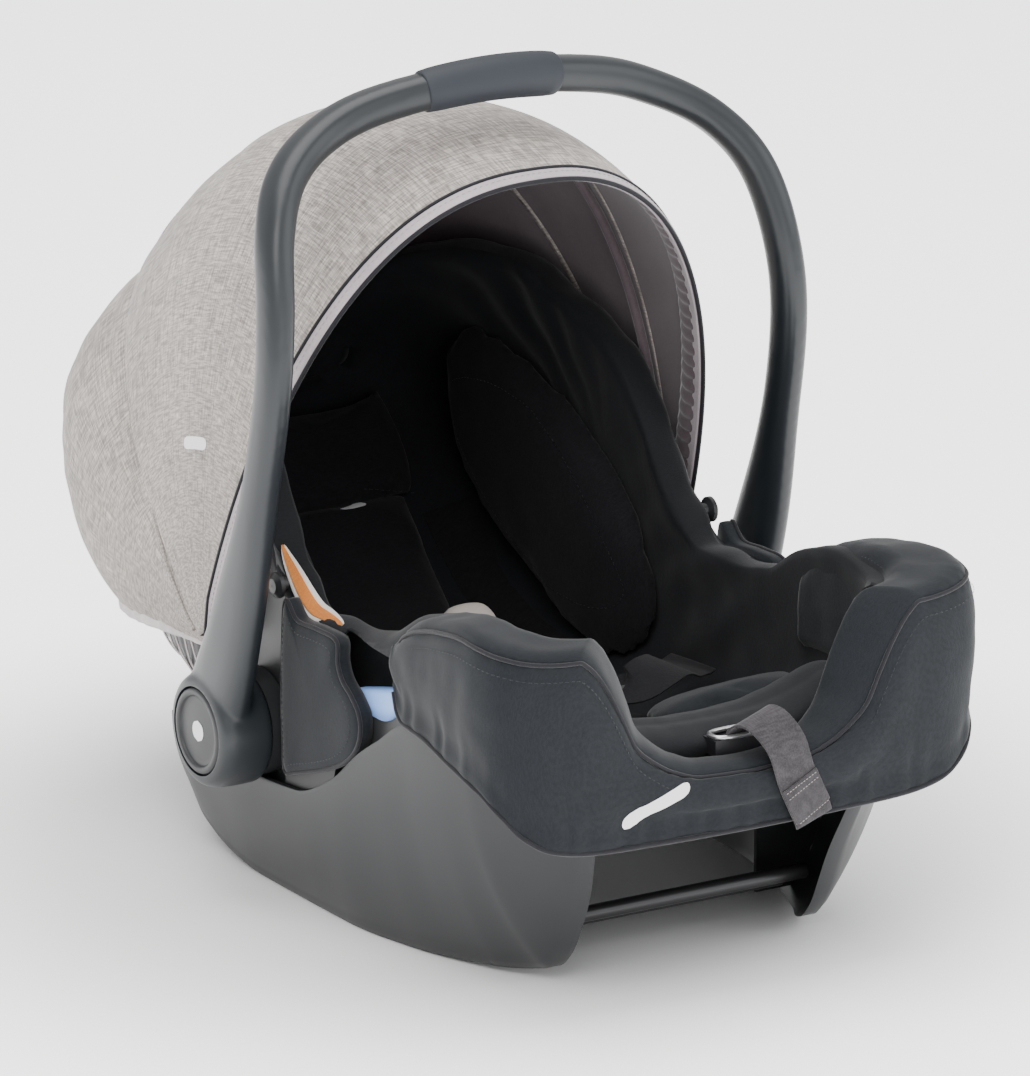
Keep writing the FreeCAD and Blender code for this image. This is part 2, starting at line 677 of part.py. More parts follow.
shaped("insert_seat_pad", lining(0.5, 18.0, (-92, -262, 60), (92, 20, 190)))
shaped("insert_back_pad", lining(0.5, 24.0, (-80, 20.5, 60), (80, 258, 330)))
shaped("head_support", lining(24.5, 52.0, (-80, 150, 100), (80, 246, 330)))
for name, side in SIDES:
    inner, outer = sorted((side * 81, side * 200))
    shaped("insert_bolster_" + name, lining(3.0, 46.0, (inner, 25, 100), (outer, 215, 262)))
    inner, outer = sorted((side * 84, side * 122))
    shaped("shoulder_strap_" + name, lining(0.6, 0.6 + dim("strap_thickness"), (inner, 30, 60), (outer, 214, 262)))
    inner, outer = sorted((side * 30, side * 88))
    shaped("leg_flap_" + name, lining(18.6, 30.0, (inner, -255, 60), (outer, -160, 190)))
    inner, outer = sorted((side * 26, side * 118))
    shaped("lap_strap_" + name, lining(18.6, 18.6 + dim("strap_thickness"), (inner, -118, 60), (outer, -80, 165)))

seat_level = ramp(BOTTOM_HEIGHT, -110) + cover_in + 18.0
# the buckle lies forward on the seat pad, between the leg flaps
BUCKLE_TILT = Rotation(Vector(1, 0, 0), 62)
BUCKLE_PLACE = Placement(Vector(0, -108, seat_level + 11.0), BUCKLE_TILT)
STRAP_STUB = 12.0
crotch = new_body("crotch_strap", Placement(BUCKLE_PLACE.multVec(Vector(0, 0, -STRAP_STUB)), BUCKLE_TILT))
sketch = new_sketch(crotch, "XY_Plane", "crotch_strap_outline")
add_rectangle(sketch, "Dims.strap_width", 3.0)
add_pad(crotch, sketch, STRAP_STUB - 0.2)

buckle = new_body("buckle_housing", BUCKLE_PLACE)
sketch = new_sketch(buckle, "XY_Plane", "buckle_outline")
add_rectangle(sketch, 46.0, 17.0)
pad = add_pad(buckle, sketch, 52.0)
round_edges(buckle, pad, 4.0)
sketch = new_sketch(buckle, "XZ_Plane", "buckle_button_well")
add_rectangle(sketch, 25.0, 19.0, (0.0, 30.0))
add_pocket(buckle, sketch, 9.0, "button_well")

red = new_body("buckle_button", BUCKLE_PLACE)
sketch = new_sketch(red, "XZ_Plane", "buckle_button_outline")
add_rectangle(sketch, 24.0, 18.0, (0.0, 30.0))
sketch.AttachmentOffset = Placement(Vector(0, 0, -4.0), Rotation())
add_pad(red, sketch, 5.0, reverse=True)

housing = new_body("adjuster_housing", Placement(Vector(10, -322, 160), Rotation()))
sketch = new_sketch(housing, "XY_Plane", "adjuster_housing_outline")
add_rectangle(sketch, 46.0, 20.0)
pad = add_pad(housing, sketch, 11.0)
sketch = new_sketch(housing, "XY_Plane", "adjuster_slot")
add_rectangle(sketch, 36.0, 12.0)
add_pocket(housing, sketch, 11.0, "strap_slot", reverse=True)

press = new_body("adjuster_button", Placement(Vector(10, -322, 162), Rotation()))
sketch = new_sketch(press, "XY_Plane", "adjuster_button_outline")
add_rectangle(sketch, 35.0, 5.0, (0.0, 3.0))
add_pad(press, sketch, 8.0)

# the tail of webbing climbs out of the slot, crosses the sill and hangs down the front
STRAP_ROUTE = [(-326, 161), (-326, 176), (-334, 182), (-347, 182), (-354.6, 172), (-354.6, 122)]
thick = dim("strap_thickness")
left_edge = 10 - 0.5 * dim("adjuster_strap_width")
shifted = [(y + thick, z + thick) for y, z in STRAP_ROUTE[:3]] + [(y - thick, z + thick) for y, z in STRAP_ROUTE[3:]]
corners = [Vector(left_edge, y, z) for y, z in STRAP_ROUTE + shifted[::-1]]
outline = Part.makePolygon(corners + [corners[0]])
shaped("adjuster_strap", Part.Face(outline).extrude(Vector(dim("adjuster_strap_width"), 0, 0)))

for name, side in SIDES:
    tongue = new_body("buckle_tongue_" + name, BUCKLE_PLACE)
    sketch = new_sketch(tongue, "XY_Plane", "buckle_tongue_outline_" + name)
    add_rectangle(sketch, 17.0, 2.4, (side * 10.5, 0.0))
    pad = add_pad(tongue, sketch, 22.0)
    sketch.AttachmentOffset = Placement(Vector(0, 0, 52.0), Rotation())

    web = Part.makeBox(70, 3, 150, Vector(side * 135 - 35, -206.5, 8))
    outer_skin = [skirt_section(side, y) for y in stations_between(-230.0, -180.0, 3)]
    skirt_slice = Part.makeLoft(outer_skin, True, True)
    beyond = Part.makeBox(60, 60, 200, Vector(side * 182 - 30, -230, 0))
    web = web.cut(skirt_slice).cut(beyond).cut(tub)
    inside = [solid for solid in web.Solids if abs(solid.CenterOfMass.x) < 165]
    shaped("skirt_web_" + name, max(inside, key=lambda solid: solid.Volume))

under_layer = tub_solid(-2.2).cut(tub_solid(-0.4))
under_web = under_layer.common(Part.makeBox(32, 420, 90, Vector(-6, -320, 40)))
shaped("webbing_under_seat", max(under_web.Solids, key=lambda solid: solid.Volume))

label = tub_solid(cover_in + 0.1, CUT_TOP, cover_in).cut(tub_solid(cover_in + 1.0, CUT_TOP, cover_in))
label = label.common(Part.makeBox(120, 84, 26, Vector(-180, -112, 178)))
shaped("side_label", max(label.Solids, key=lambda solid: solid.Volume))

doc.recompute()

for item in doc.Objects:
    if "Invalid" in item.State or "Error" in item.State:
        raise RuntimeError("failed object: " + item.Name)

os.makedirs("parts", exist_ok=True)
for item in PARTS:
    shape = item.Shape
    if shape.isNull() or not shape.isValid():
        raise RuntimeError("bad shape: " + item.Label)
    box = shape.BoundBox
    print("%-26s solids %d vol %9.0f  x %6.1f %6.1f  y %6.1f %6.1f  z %6.1f %6.1f" % (
        item.Label, len(shape.Solids), shape.Volume, box.XMin, box.XMax, box.YMin, box.YMax, box.ZMin, box.ZMax))
    shape.exportStep("parts/%s.step" % item.Label)
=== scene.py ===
"""Looks of the infant carrier car seat: smooth plastics, padded fabric, canopy cloth and webbing."""
import math

import bmesh
import bpy
import numpy as np
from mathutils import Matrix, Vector, noise


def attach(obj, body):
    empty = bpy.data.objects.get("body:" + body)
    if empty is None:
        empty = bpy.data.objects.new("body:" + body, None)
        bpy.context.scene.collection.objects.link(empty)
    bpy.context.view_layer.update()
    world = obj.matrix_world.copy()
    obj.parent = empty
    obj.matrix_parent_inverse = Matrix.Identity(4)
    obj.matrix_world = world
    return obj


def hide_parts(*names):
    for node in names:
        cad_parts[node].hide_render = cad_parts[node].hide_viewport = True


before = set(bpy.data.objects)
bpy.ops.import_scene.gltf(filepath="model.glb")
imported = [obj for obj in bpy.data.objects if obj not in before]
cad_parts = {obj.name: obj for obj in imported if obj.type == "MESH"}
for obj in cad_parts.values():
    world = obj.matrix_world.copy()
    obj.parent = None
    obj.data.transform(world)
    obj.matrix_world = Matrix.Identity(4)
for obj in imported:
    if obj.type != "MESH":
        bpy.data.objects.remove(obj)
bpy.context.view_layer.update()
MM = 0.001
SIDES = (("left", -1.0), ("right", 1.0))


# ---------------------------------------------------------------------------
# Small tools
# ---------------------------------------------------------------------------
def ramp(table, at):
    """Value at a station, on a smooth curve that never overshoots the stations of a short table."""
    keys = sorted(table)
    at = min(max(at, keys[0]), keys[-1])
    steps = [b - a for a, b in zip(keys, keys[1:])]
    rises = [(table[b] - table[a]) / (b - a) for a, b in zip(keys, keys[1:])]
    slopes = [rises[0]]
    for before, after in zip(rises, rises[1:]):
        slopes.append(2 * before * after / (before + after) if before * after > 0 else 0.0)
    slopes.append(rises[-1])
    i = next(k for k in range(len(steps)) if at <= keys[k + 1])
    t = (at - keys[i]) / steps[i]
    return (
        table[keys[i]] * (1 + 2 * t) * (1 - t) ** 2
        + slopes[i] * steps[i] * t * (1 - t) ** 2
        + table[keys[i + 1]] * t * t * (3 - 2 * t)
        + slopes[i + 1] * steps[i] * t * t * (t - 1)
    )


def spread(first, last, count):
    return [first + (last - first) * i / (count - 1) for i in range(count)]


def smooth_line(points, count, closed=False):
    """Evenly spaced points on a smooth line through the given ones, in the same unit."""
    p = [Vector(q) for q in points]
    n = len(p)
    dense = []
    spans = n if closed else n - 1
    for i in range(spans):
        a = p[(i - 1) % n] if closed or i > 0 else p[0] * 2 - p[1]
        b, c = p[i % n], p[(i + 1) % n]
        d = p[(i + 2) % n] if closed or i + 2 < n else p[-1] * 2 - p[-2]
        for k in range(16):
            t = k / 16
            dense.append(0.5 * (2 * b + (c - a) * t + (2 * a - 5 * b + 4 * c - d) * t * t
                                + (3 * b - a - 3 * c + d) * t ** 3))
    dense.append(p[0] if closed else p[-1])
    lengths = [0.0]
    for a, b in zip(dense, dense[1:]):
        lengths.append(lengths[-1] + (b - a).length)
    out, k = [], 0
    total = count if closed else count - 1
    for i in range(count):
        want = lengths[-1] * i / total
        while k < len(dense) - 2 and lengths[k + 1] < want:
            k += 1
        share = (want - lengths[k]) / max(lengths[k + 1] - lengths[k], 1e-9)
        out.append(dense[k].lerp(dense[k + 1], share))
    return out


def mesh_piece(name, points, faces, uvs=None):
    """Smooth-shaded mesh object from points in millimetres."""
    mesh = bpy.data.meshes.new(name)
    mesh.from_pydata([[c * MM for c in p] for p in points], [], faces)
    if uvs is not None:
        layer = mesh.uv_layers.new(name="cloth")
        index = np.zeros(len(mesh.loops), np.int32)
        mesh.loops.foreach_get("vertex_index", index)
        layer.data.foreach_set("uv", np.array(uvs, np.float32)[index].ravel())
    mesh.validate()
    mesh.shade_smooth()
    piece = bpy.data.objects.new(name, mesh)
    bpy.context.scene.collection.objects.link(piece)
    return piece


def grid_piece(name, rows, wrap=False, caps=False, flip=False):
    """Mesh from rows of points; wrap joins each row's last point to its first."""
    count = len(rows[0])
    points = [tuple(p) for row in rows for p in row]
    faces = []
    for i in range(len(rows) - 1):
        for j in range(count if wrap else count - 1):
            k = (j + 1) % count
            face = [i * count + j, i * count + k, (i + 1) * count + k, (i + 1) * count + j]
            faces.append(face[::-1] if flip else face)
    if caps:
        faces.append(list(range(count))[::1 if flip else -1])
        last = (len(rows) - 1) * count
        faces.append([last + j for j in range(count)][::-1 if flip else 1])
    run, uvs = 0.0, []
    for i, row in enumerate(rows):
        if i:
            middle = count // 2
            run += (Vector(row[middle]) - Vector(rows[i - 1][middle])).length
        across = 0.0
        for j, p in enumerate(row):
            if j:
                across += (Vector(p) - Vector(row[j - 1])).length
            uvs.append((across * MM, run * MM))
    return mesh_piece(name, points, faces, uvs)


def apply_modifiers(piece):
    """Replaces the piece's mesh by what its modifiers make of it."""
    graph = bpy.context.evaluated_depsgraph_get()
    made = bpy.data.meshes.new_from_object(piece.evaluated_get(graph))
    piece.modifiers.clear()
    piece.data = made
    made.shade_smooth()
    return piece


def modified(piece, kind, **settings):
    """Adds one modifier with its settings and applies it."""
    made = piece.modifiers.new(kind.lower(), kind)
    for key, value in settings.items():
        setattr(made, key, value)
    return apply_modifiers(piece)


def bevelled(piece, width, angle=40.0):
    return modified(piece, "BEVEL", width=width * MM, segments=2, limit_method="ANGLE",
                    angle_limit=math.radians(angle))


def thicken(piece, thickness, offset=-1.0, edge=0.0, even=True):
    modified(piece, "SOLIDIFY", thickness=thickness * MM, offset=offset, use_even_offset=even)
    return bevelled(piece, edge, 50.0) if edge else piece


def cut(piece, *blocks):
    for block in blocks:
        modified(piece, "BOOLEAN", operation="DIFFERENCE", solver="EXACT", object=block)
        bpy.data.objects.remove(block)
    return piece


def edit_mesh(piece, change, *others):
    """Joins the meshes of other objects to the piece's own and lets a function change the result."""
    made = bmesh.new()
    for each in (piece, *others):
        made.from_mesh(each.data)
    change(made)
    made.to_mesh(piece.data)
    made.free()
    for each in others:
        bpy.data.objects.remove(each)
    piece.data.shade_smooth()
    return piece


def join(target, *others):
    return edit_mesh(target, lambda made: None, *others)


def weld(piece, distance):
    def change(made):
        bmesh.ops.remove_doubles(made, verts=made.verts, dist=distance * MM)
        bmesh.ops.recalc_face_normals(made, faces=made.faces)
    return edit_mesh(piece, change)


def fill_holes(piece):
    def change(made):
        bmesh.ops.holes_fill(made, edges=[e for e in made.edges if e.is_boundary], sides=0)
        bmesh.ops.recalc_face_normals(made, faces=made.faces)
    return edit_mesh(piece, change)


def circle(count):
    """Cosine and sine of evenly spaced angles all the way round."""
    return [(math.cos(2 * math.pi * k / count), math.sin(2 * math.pi * k / count)) for k in range(count)]


def squared(value, power):
    """Power of a cosine or sine that keeps its sign: below 1 it squares a circle's corners."""
    return math.copysign(abs(value) ** power, value)


def tube(name, line, radius, closed=False, sides=8):
    """Round bead or cord of small radius along a line in millimetres."""
    rows = []
    count = len(line)
    reference = Vector((0.3, 0.2, 1.0)).normalized()
    for i in range(count):
        here = Vector(line[i])
        ahead = Vector(line[(i + 1) % count] if closed or i + 1 < count else line[i])
        behind = Vector(line[i - 1] if closed or i > 0 else line[i])
        along = (ahead - behind).normalized()
        side = along.cross(reference)
        if side.length < 0.1:
            side = along.cross(Vector((1, 0, 0)))
        side.normalize()
        up = side.cross(along).normalized()
        reference = up
        rows.append([here + (side * c + up * s) * radius for c, s in circle(sides)])
    if closed:
        rows.append(rows[0])
    return grid_piece(name, rows, wrap=True, caps=not closed)


def ribbon(name, line, normals, width, thickness):
    """Flat webbing along a line, with its width square to the line and the normal."""
    rows = []
    count = len(line)
    for i in range(count):
        along = (Vector(line[min(i + 1, count - 1)]) - Vector(line[max(i - 1, 0)])).normalized()
        up = Vector(normals[i] if len(normals) == count else normals[0]).normalized()
        side = along.cross(up).normalized()
        up = side.cross(along).normalized()
        rows.append([Vector(line[i]) + side * share * width / 2 + up * (0.25 * thickness * (1 - share * share))
                     for share in (-1.0, -0.96, -0.6, -0.2, 0.2, 0.6, 0.96, 1.0)])
    return thicken(grid_piece(name, rows), thickness, 0.0, 0.3)


def nudge(piece, move):
    """Moves every vertex by what a function of its place and normal says, in millimetres."""
    mesh = piece.data
    mesh.update()
    normals = [v.normal.copy() for v in mesh.vertices]
    for v, n in zip(mesh.vertices, normals):
        v.co = v.co + Vector(move(v.co / MM, n)) * MM
    mesh.update()
    return piece


def ripple(p, size, seed=0.0):
    """Smooth noise from -1 to 1 with features of the given size in millimetres."""
    return noise.noise(Vector((p[0] / size + seed, p[1] / size - seed, p[2] / size + 2 * seed)))


# ---------------------------------------------------------------------------
# Materials
# ---------------------------------------------------------------------------
class Nodes:
    """Short way to write a material's node tree."""

    def __init__(self, name):
        self.material = bpy.data.materials.new(name)
        self.material.use_nodes = True
        self.tree = self.material.node_tree
        self.shader = self.tree.nodes["Principled BSDF"]

    def add(self, kind, **values):
        node = self.tree.nodes.new(kind)
        for key, value in values.items():
            if hasattr(node, key) and key not in node.inputs:
                setattr(node, key, value)
            else:
                node.inputs[key.replace("_", " ")].default_value = value
        return node

    def link(self, source, output, target, socket):
        self.tree.links.new(source.outputs[output], target.inputs[socket])

    def place(self, scale, uv=False):
        """Coordinates of the surface times a scale along each axis."""
        where = self.add("ShaderNodeTexCoord")
        mapping = self.add("ShaderNodeMapping")
        mapping.inputs["Scale"].default_value = scale
        self.link(where, "UV" if uv else "Object", mapping, "Vector")
        return mapping

    def noise(self, scale, stretch=(1, 1, 1), detail=3.0, uv=False):
        mapping = self.place([scale * s for s in stretch], uv)
        made = self.add("ShaderNodeTexNoise", Scale=1.0, Detail=detail)
        self.link(mapping, "Vector", made, "Vector")
        return made

    def mix(self, first, second, factor_node, low=0.35, high=0.65, output="Fac"):
        ramp_node = self.add("ShaderNodeValToRGB")
        ramp_node.color_ramp.elements[0].position = low
        ramp_node.color_ramp.elements[1].position = high
        ramp_node.color_ramp.elements[0].color = (*first, 1)
        ramp_node.color_ramp.elements[1].color = (*second, 1)
        self.link(factor_node, output, ramp_node, "Fac")
        return ramp_node

    def blend(self, kind, share, a, b):
        """Mixes or multiplies the colours of two sockets."""
        made = self.add("ShaderNodeMix", data_type="RGBA", blend_type=kind)
        made.inputs[0].default_value = share
        self.tree.links.new(a, made.inputs[6])
        self.tree.links.new(b, made.inputs[7])
        return made.outputs[2]

    def set(self, **values):
        """Constants of the shader, with _ for a space in each name."""
        for key, value in values.items():
            self.shader.inputs[key.replace("_", " ")].default_value = value

    def bump(self, height, output, strength, distance, before=None):
        made = self.add("ShaderNodeBump", Strength=strength, Distance=distance)
        self.link(height, output, made, "Height")
        if before is not None:
            self.link(before, "Normal", made, "Normal")
        self.link(made, "Normal", self.shader, "Normal")
        return made


def woven(name, light, dark, thread=1600.0, patch=26.0, rough=0.88, sheen=0.25, tint=(1, 1, 1), bump=0.35, uv=False,
          contrast=0.5, slub=0.0):
    """Plain woven cloth: crossing threads, their shine and slow changes of shade."""
    n = Nodes(name)
    warp = n.noise(thread, (1.0, 0.1, 1.0) if uv else (1.0, 0.12, 1.0), 1.0, uv)
    weft = n.noise(thread, (0.1, 1.0, 1.0) if uv else (0.12, 1.0, 0.12), 1.0, uv)
    threads = [n.mix(dark, light, each, 0.5 - contrast / 4, 0.5 + contrast / 4).outputs[0] for each in (warp, weft)]
    shade = n.mix(tuple(0.82 * t for t in tint), tuple(tint), n.noise(patch, detail=4.0), 0.3, 0.7)
    last = n.blend("MULTIPLY", 1.0, n.blend("MIX", 0.5, *threads), shade.outputs[0])
    if slub:
        # uneven yarns of two shades, long one way and thin the other
        for stretch in ((1.0, 0.07, 1.0), (0.07, 1.0, 1.0)):
            yarn = n.noise(620.0, stretch, 2.0, uv)
            tone = n.mix((1 - slub,) * 3, (1 + 0.35 * slub,) * 3, yarn, 0.38, 0.62)
            last = n.blend("MULTIPLY", 1.0, last, tone.outputs[0])
    n.tree.links.new(last, n.shader.inputs["Base Color"])
    n.set(Roughness=rough, Sheen_Weight=sheen, Sheen_Roughness=0.45, Specular_IOR_Level=0.25)
    n.bump(weft, "Fac", bump, 0.0004, n.bump(warp, "Fac", bump, 0.0004))
    return n.material


def moulded(name, colour, rough=0.45, grain=900.0, bump=0.12, level=0.5, metal=0.0):
    """Moulded plastic or metal: fine grain, uneven gloss and a slow change of shade."""
    n = Nodes(name)
    slow = n.noise(9.0, detail=5.0)
    shade = n.mix(colour, tuple(min(1.0, c * 1.12 + 0.004) for c in colour), slow, 0.35, 0.75)
    n.link(shade, "Color", n.shader, "Base Color")
    gloss = n.mix((rough * 0.88,) * 3, (rough * 1.12,) * 3, slow, 0.3, 0.7)
    n.link(gloss, "Color", n.shader, "Roughness")
    n.set(Specular_IOR_Level=level, Metallic=metal)
    n.bump(n.noise(grain, detail=2.0), "Fac", bump, 0.0002)
    return n.material


SHELL = moulded("shell_plastic", (0.019, 0.020, 0.0215), 0.36, 700.0, 0.10, level=0.4)
HANDLE = moulded("handle_plastic", (0.011, 0.014, 0.017), 0.36, 900.0, 0.08)
CAP = moulded("button_plastic", (0.016, 0.017, 0.019), 0.42, 900.0, 0.08)
GRIP = moulded("grip_rubber", (0.010, 0.014, 0.021), 0.6, 1400.0, 0.25)
STEEL = moulded("dark_steel", (0.05, 0.05, 0.052), 0.35, 300.0, 0.05, metal=0.8)
BRIGHT = moulded("bright_steel", (0.55, 0.55, 0.56), 0.3, 300.0, 0.05, metal=0.9)
GUIDE = moulded("guide_plastic", (0.25, 0.42, 0.83), 0.35, 900.0, 0.05)
RED = moulded("press_plastic", (0.55, 0.02, 0.015), 0.35, 900.0, 0.05)
BLACK = moulded("black_plastic", (0.012, 0.012, 0.014), 0.4, 900.0, 0.1)
WHITE = moulded("print_white", (0.82, 0.82, 0.82), 0.5, 900.0, 0.05)
CANOPY = woven("canopy_melange", (0.60, 0.545, 0.50), (0.36, 0.32, 0.295), 1300.0, 12.0, 0.92, 0.15, uv=True,
               contrast=0.55, bump=0.5, slub=0.34)
HEM = woven("canopy_hem", (0.70, 0.64, 0.64), (0.50, 0.46, 0.46), 1700.0, 20.0, 0.85, 0.3, uv=True, bump=0.3)
BINDING = woven("canopy_binding", (0.50, 0.44, 0.47), (0.42, 0.37, 0.40), 2200.0, 20.0, 0.75, 0.3, bump=0.2)
PIPING = woven("piping", (0.012, 0.012, 0.016), (0.007, 0.007, 0.01), 2200.0, 20.0, 0.7, 0.2)
LINING = woven("canopy_lining", (0.125, 0.095, 0.108), (0.095, 0.072, 0.082), 2400.0, 30.0, 0.55, 0.5, bump=0.15)
OUTER = woven("cover_outer", (0.0125, 0.0155, 0.0195), (0.0060, 0.0078, 0.0105), 2300.0, 18.0, 0.82, 0.16, bump=0.25)
COVER = woven("cover_inner", (0.0085, 0.0098, 0.0125), (0.0042, 0.0050, 0.0068), 2300.0, 18.0, 0.8, 0.14, bump=0.25)
INSERT = woven("insert_knit", (0.0125, 0.0125, 0.0150), (0.0062, 0.0062, 0.0080), 2000.0, 25.0, 0.95, 0.07, bump=0.3)
WEBBING = woven("webbing", (0.060, 0.054, 0.060), (0.026, 0.024, 0.027), 900.0, 30.0, 0.7, 0.3, bump=0.6)
BLACKWEB = woven("black_webbing", (0.0085, 0.0085, 0.0105), (0.004, 0.004, 0.0055), 900.0, 30.0, 0.85, 0.05, bump=0.6)
LABEL = woven("label_cloth", (0.83, 0.80, 0.77), (0.70, 0.66, 0.62), 1900.0, 20.0, 0.8, 0.1)
ORANGE = woven("label_band", (0.72, 0.26, 0.06), (0.55, 0.18, 0.04), 1900.0, 20.0, 0.8, 0.1)
BINDING_THREAD = woven("binding_thread", (0.42, 0.37, 0.39), (0.32, 0.28, 0.3), 3000.0)
CANOPY_THREAD = woven("canopy_thread", (0.36, 0.33, 0.31), (0.25, 0.22, 0.21), 3000.0)
DARK_THREAD = woven("dark_thread", (0.026, 0.029, 0.034), (0.015, 0.017, 0.021), 3000.0)


def finish_piece(piece, material, body, slot=None, *replaced):
    """Gives a piece its material and the body it rides on, and hides the CAD nodes that it stands for."""
    piece.data.materials.clear()
    piece.data.materials.append(material)
    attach(piece, body)
    if replaced:
        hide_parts(*replaced)
    return piece


# ---------------------------------------------------------------------------
# The tub: tables by station along Y, in millimetres
# ---------------------------------------------------------------------------
RIM_HEIGHT = {-345: 246, -263: 252, -200: 238, -159: 216, -104: 207, -65: 207, -23: 232,
              18: 286, 52: 324, 105: 352, 173: 372, 240: 362, 290: 338, 322: 306}
RIM_HALF = {-345: 108, -332: 140, -310: 156, -263: 164, -104: 166, 18: 165, 52: 161, 105: 150, 173: 133,
            240: 112, 290: 84, 322: 40}
BELLY_HALF = {-345: 112, -332: 144, -310: 160, -263: 167, -104: 168, 105: 168, 173: 166, 240: 158, 290: 136, 322: 96}
BOTTOM_HEIGHT = {-345: 128, -263: 108, -159: 84, -65: 64, 18: 58, 105: 66, 173: 92, 240: 142, 290: 190, 322: 234}
FIRST, LAST = -345.0, 322.0
MIDDLE = 0.5 * (FIRST + LAST)
CAVITY = 24.8


def tub_half(station, inset):
    """Right half of the tub's cross section from the rim down to the middle of the floor, as (x, z)."""
    top = ramp(RIM_HEIGHT, station)
    rim = max(ramp(RIM_HALF, station) - inset, 12.0)
    belly = max(ramp(BELLY_HALF, station) - inset, rim + 2.0)
    low = min(ramp(BOTTOM_HEIGHT, station) + inset, top - 12.0)
    widest = low + 0.45 * (top - low)
    points = [(belly + (rim - belly) * s * s, widest + (top - widest) * s) for s in spread(1.0, 0.0, 14)]
    for angle in spread(0.0, 90.0, 22)[1:]:
        c, s = max(math.cos(math.radians(angle)), 0.0), math.sin(math.radians(angle))
        points.append((belly * c ** 0.6, widest - (widest - low) * s ** 0.6))
    return points


def station_at(y, inset):
    return MIDDLE + (y - MIDDLE) * (LAST - FIRST) / (LAST - FIRST - 2 * inset)


def floor_z(x, y, inset):
    """Height of the tub's inner floor at x, y, for a layer that deep."""
    half = tub_half(station_at(y, inset), inset)[13:]
    return float(np.interp(abs(x), [p[0] for p in half][::-1], [p[1] for p in half][::-1]))


def wall_x(y, z, inset):
    """Half width of the tub at y, z, for a layer that deep."""
    half = tub_half(station_at(y, inset), inset)
    return float(np.interp(z, [p[1] for p in half][::-1], [p[0] for p in half][::-1]))


def resampled(points, count):
    """Evenly spaced points on a polyline, without smoothing it."""
    p = np.array([list(q) for q in points], float)
    run = np.concatenate([[0], np.cumsum(np.linalg.norm(np.diff(p, axis=0), axis=1))])
    at = np.linspace(0, run[-1], count)
    return [tuple(np.interp(t, run, p[:, k]) for k in range(p.shape[1])) for t in at]


def prism(name, outline, low, high, axis=0):
    """Block with an outline in the two other axes, used for cutting."""
    points = []
    for at in (low, high):
        for a, b in outline:
            p = [a, b]
            p.insert(axis, at)
            points.append(tuple(p))
    n = len(outline)
    faces = [[i, (i + 1) % n, n + (i + 1) % n, n + i] for i in range(n)]
    faces += [list(range(n))[::-1], [n + i for i in range(n)]]
    return weld(mesh_piece(name, points, faces), 0.001)


WINDOW_Y, WINDOW_HALF, WINDOW_LOW = -148.0, 42.0, 163.0


def window_block(margin, low=-400.0, high=400.0, top=400.0):
    """U-shaped notch across the side walls where the vehicle belt crosses the seat."""
    half, bottom, station = WINDOW_HALF + margin, WINDOW_LOW - margin, WINDOW_Y
    radius = half * 0.8
    outline = [(station - half, top)]
    for side, first in ((-1, 180.0), (1, 270.0)):
        for angle in spread(first, first + 90.0, 10):
            a = math.radians(angle)
            outline.append((station + side * (half - radius) + radius * math.cos(a),
                            bottom + radius + radius * math.sin(a)))
    outline.append((station + half, top))
    return prism("window_block", outline[::-1], low, high, 0)


def sill_block(height, width=262.0):
    """Valley across the foot end, between the two raised front corners."""
    key = [(-width / 2, height + 110), (-width / 2 + 26, height + 42), (-62, height + 8), (0, height),
           (62, height + 8), (width / 2 - 26, height + 42), (width / 2, height + 110)]
    outline = [(p.x, p.y) for p in smooth_line([(a, b, 0) for a, b in key], 40)]
    return prism("sill_block", outline, FIRST - 60.0, FIRST + 38.0, 1)


def build_shell():
    """Moulded tub with a wall of 4 mm, rounded at the foot end."""
    wall = 4.0
    rows = []
    for station in spread(FIRST, LAST, 90):
        outer = resampled(tub_half(station, 0.0), 40)
        inner = resampled(tub_half(station, wall), 40)
        y_in = MIDDLE + (station - MIDDLE) * (LAST - FIRST - 2 * wall) / (LAST - FIRST)
        ring = [(x, station, z) for x, z in outer] + [(-x, station, z) for x, z in outer[-2::-1]]
        ring += [(-x, y_in, z) for x, z in inner] + [(x, y_in, z) for x, z in inner[-2::-1]]
        rows.append(ring)
    shell = grid_piece("seat_shell_skin", rows, wrap=True)
    # the two ends: outer and inner end walls, drawn to the middle in shrinking rings
    for index, push in ((0, -1.0), (-1, 1.0)):
        ring = rows[index]
        for part, sign in ((ring[:79], 1.0), (ring[79:], -1.0)):
            centre = Vector((0, part[0][1], sum(p[2] for p in part) / len(part)))
            levels = []
            for share in (1.0, 0.985, 0.95, 0.85, 0.6, 0.3, 0.02):
                out = 1.6 * math.sqrt(max(0.0, 1.0 - share ** 8)) * push
                levels.append([tuple(centre + (Vector(p) - centre) * share + Vector((0, out, 0))) for p in part])
            flip = (push > 0) == (sign > 0)
            end = grid_piece("end", levels, wrap=False, flip=flip)
            join(shell, end)
    weld(shell, 0.02)
    fill_holes(shell)
    cut(shell, window_block(0.0), sill_block(158.0))
    bevelled(shell, 0.8)
    finish_piece(shell, SHELL, "carrier", "shell_plastic", "seat_shell", "foam_liner")
    return shell


